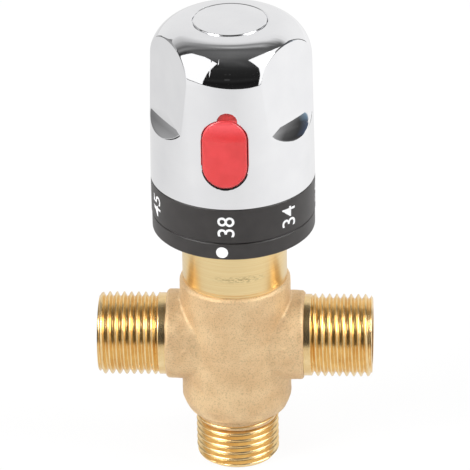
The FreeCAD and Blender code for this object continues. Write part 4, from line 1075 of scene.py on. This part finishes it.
# What the two front grips show in their ramps.
round_card("left_of_grip", [(-133, -21.5, 125), (-120, -21.5, 148), (-106, -21.5, 160)],
           [(-133, 0, 112), (-120, 0, 116), (-106, 0, 150)],
           [(-133, 12, 128), (-120, 12, 140), (-106, 12, 168)],
           [(-133, 32, 120), (-120, 32, 155), (-106, 32, 180)])
round_card("right_of_grip",
           [(94, -20, 170), (103, -20, 130), (108, -20, 120), (111, -20, (150, 180, 200))],
           [(94, 0, 165), (101, 0, 105), (107, 0, 62), (111, 0, (110, 135, 155))],
           [(94, 8, 160), (100, 8, 85), (107, 8, 62), (111, 8, (78, 88, 105))],
           [(94, 20, 120), (100, 20, 70), (107, 20, 58), (111, 20, (68, 76, 92))],
           [(94, 38, 90), (100, 38, 75), (107, 38, 90), (111, 38, 100)])
round_card("beyond_right_grip", [(111, 9, (85, 98, 118)), (118, 13, (120, 140, 165))],
           [(111, 20, (68, 76, 92)), (118, 20, 80)], [(111, 38, 100), (118, 38, 60)])

# Dark posts that draw thin lines where the flats fold into the round.
round_card("left_fold", [(-104, -19, 60), (-91, -12, 60)], [(-104, 10, 35), (-91, 10, 35)],
           [(-104, 32, 35), (-91, 28, 35)])
round_card("left_arch", [(-140, -19, 70), (-133.5, -19, 60)],
           [(-139, 9, 60), (-133.5, 9, 55)])
round_card("right_arch", [(119, -18, 60), (132, -18, 50)], [(119, 12, 35), (132, 12, 30)],
           [(119, 34, 40), (131, 32, 35)])

world = bpy.data.worlds.new("white_room")
bpy.context.scene.world = world
world.use_nodes = True
room, air = world.node_tree.nodes, world.node_tree.links
room["Background"].inputs["Color"].default_value = (1, 1, 1, 1)
air.new(calc(room, air, "MULTIPLY_ADD", looked_at(room, air), 0.45, 0.55),
        room["Background"].inputs["Strength"])


SOFTBOX_SIZE = 0.6
SOFTBOX_AIM = Vector((0, 0, 0.05))


def softbox(name, place_at, power):
    """Square soft lamp that faces the valve's body."""
    lamp = bpy.data.lights.new(name, "AREA")
    lamp.shape = "SQUARE"
    lamp.size = SOFTBOX_SIZE
    lamp.energy = power
    obj = shown(name, lamp)
    obj.matrix_world = Matrix.LocRotScale(
        Vector(place_at), (SOFTBOX_AIM - Vector(place_at)).to_track_quat("-Z", "Y"), None)


softbox("key_softbox", (-0.82, -0.56, 0.88), 11)
softbox("fill_softbox", (0.85, -0.20, 0.86), 7.5)

# Camera: a long lens that looks down on the valve from a little to the right.
# It leans very slightly, and its picture is shifted a hair to the side and upward.
AZIMUTH = math.radians(3.679)
ELEVATION = math.radians(28.02)
DISTANCE = 1.22627
AIM_HEIGHT = 61.95 * MM
LEAN = math.radians(-1.136)
back = Vector((math.sin(AZIMUTH) * math.cos(ELEVATION), -math.cos(AZIMUTH) * math.cos(ELEVATION),
               math.sin(ELEVATION)))
right = (-back).cross(Vector((0, 0, 1))).normalized()
up = right.cross(-back)
right, up = (math.cos(LEAN) * right + math.sin(LEAN) * up, math.cos(LEAN) * up - math.sin(LEAN) * right)
lens = bpy.data.cameras.new("camera")
lens.sensor_width = 36
lens.lens = 375.07
lens.shift_x = 0.00184
lens.shift_y = 0.00054
lens.clip_start = 0.05
camera = shown("camera", lens)
stand = Matrix((right, up, back)).transposed().to_4x4()
stand.translation = Vector((0, 0, AIM_HEIGHT)) + back * DISTANCE
camera.matrix_world = stand
bpy.context.scene.camera = camera
bpy.context.scene.view_settings.view_transform = "Standard"
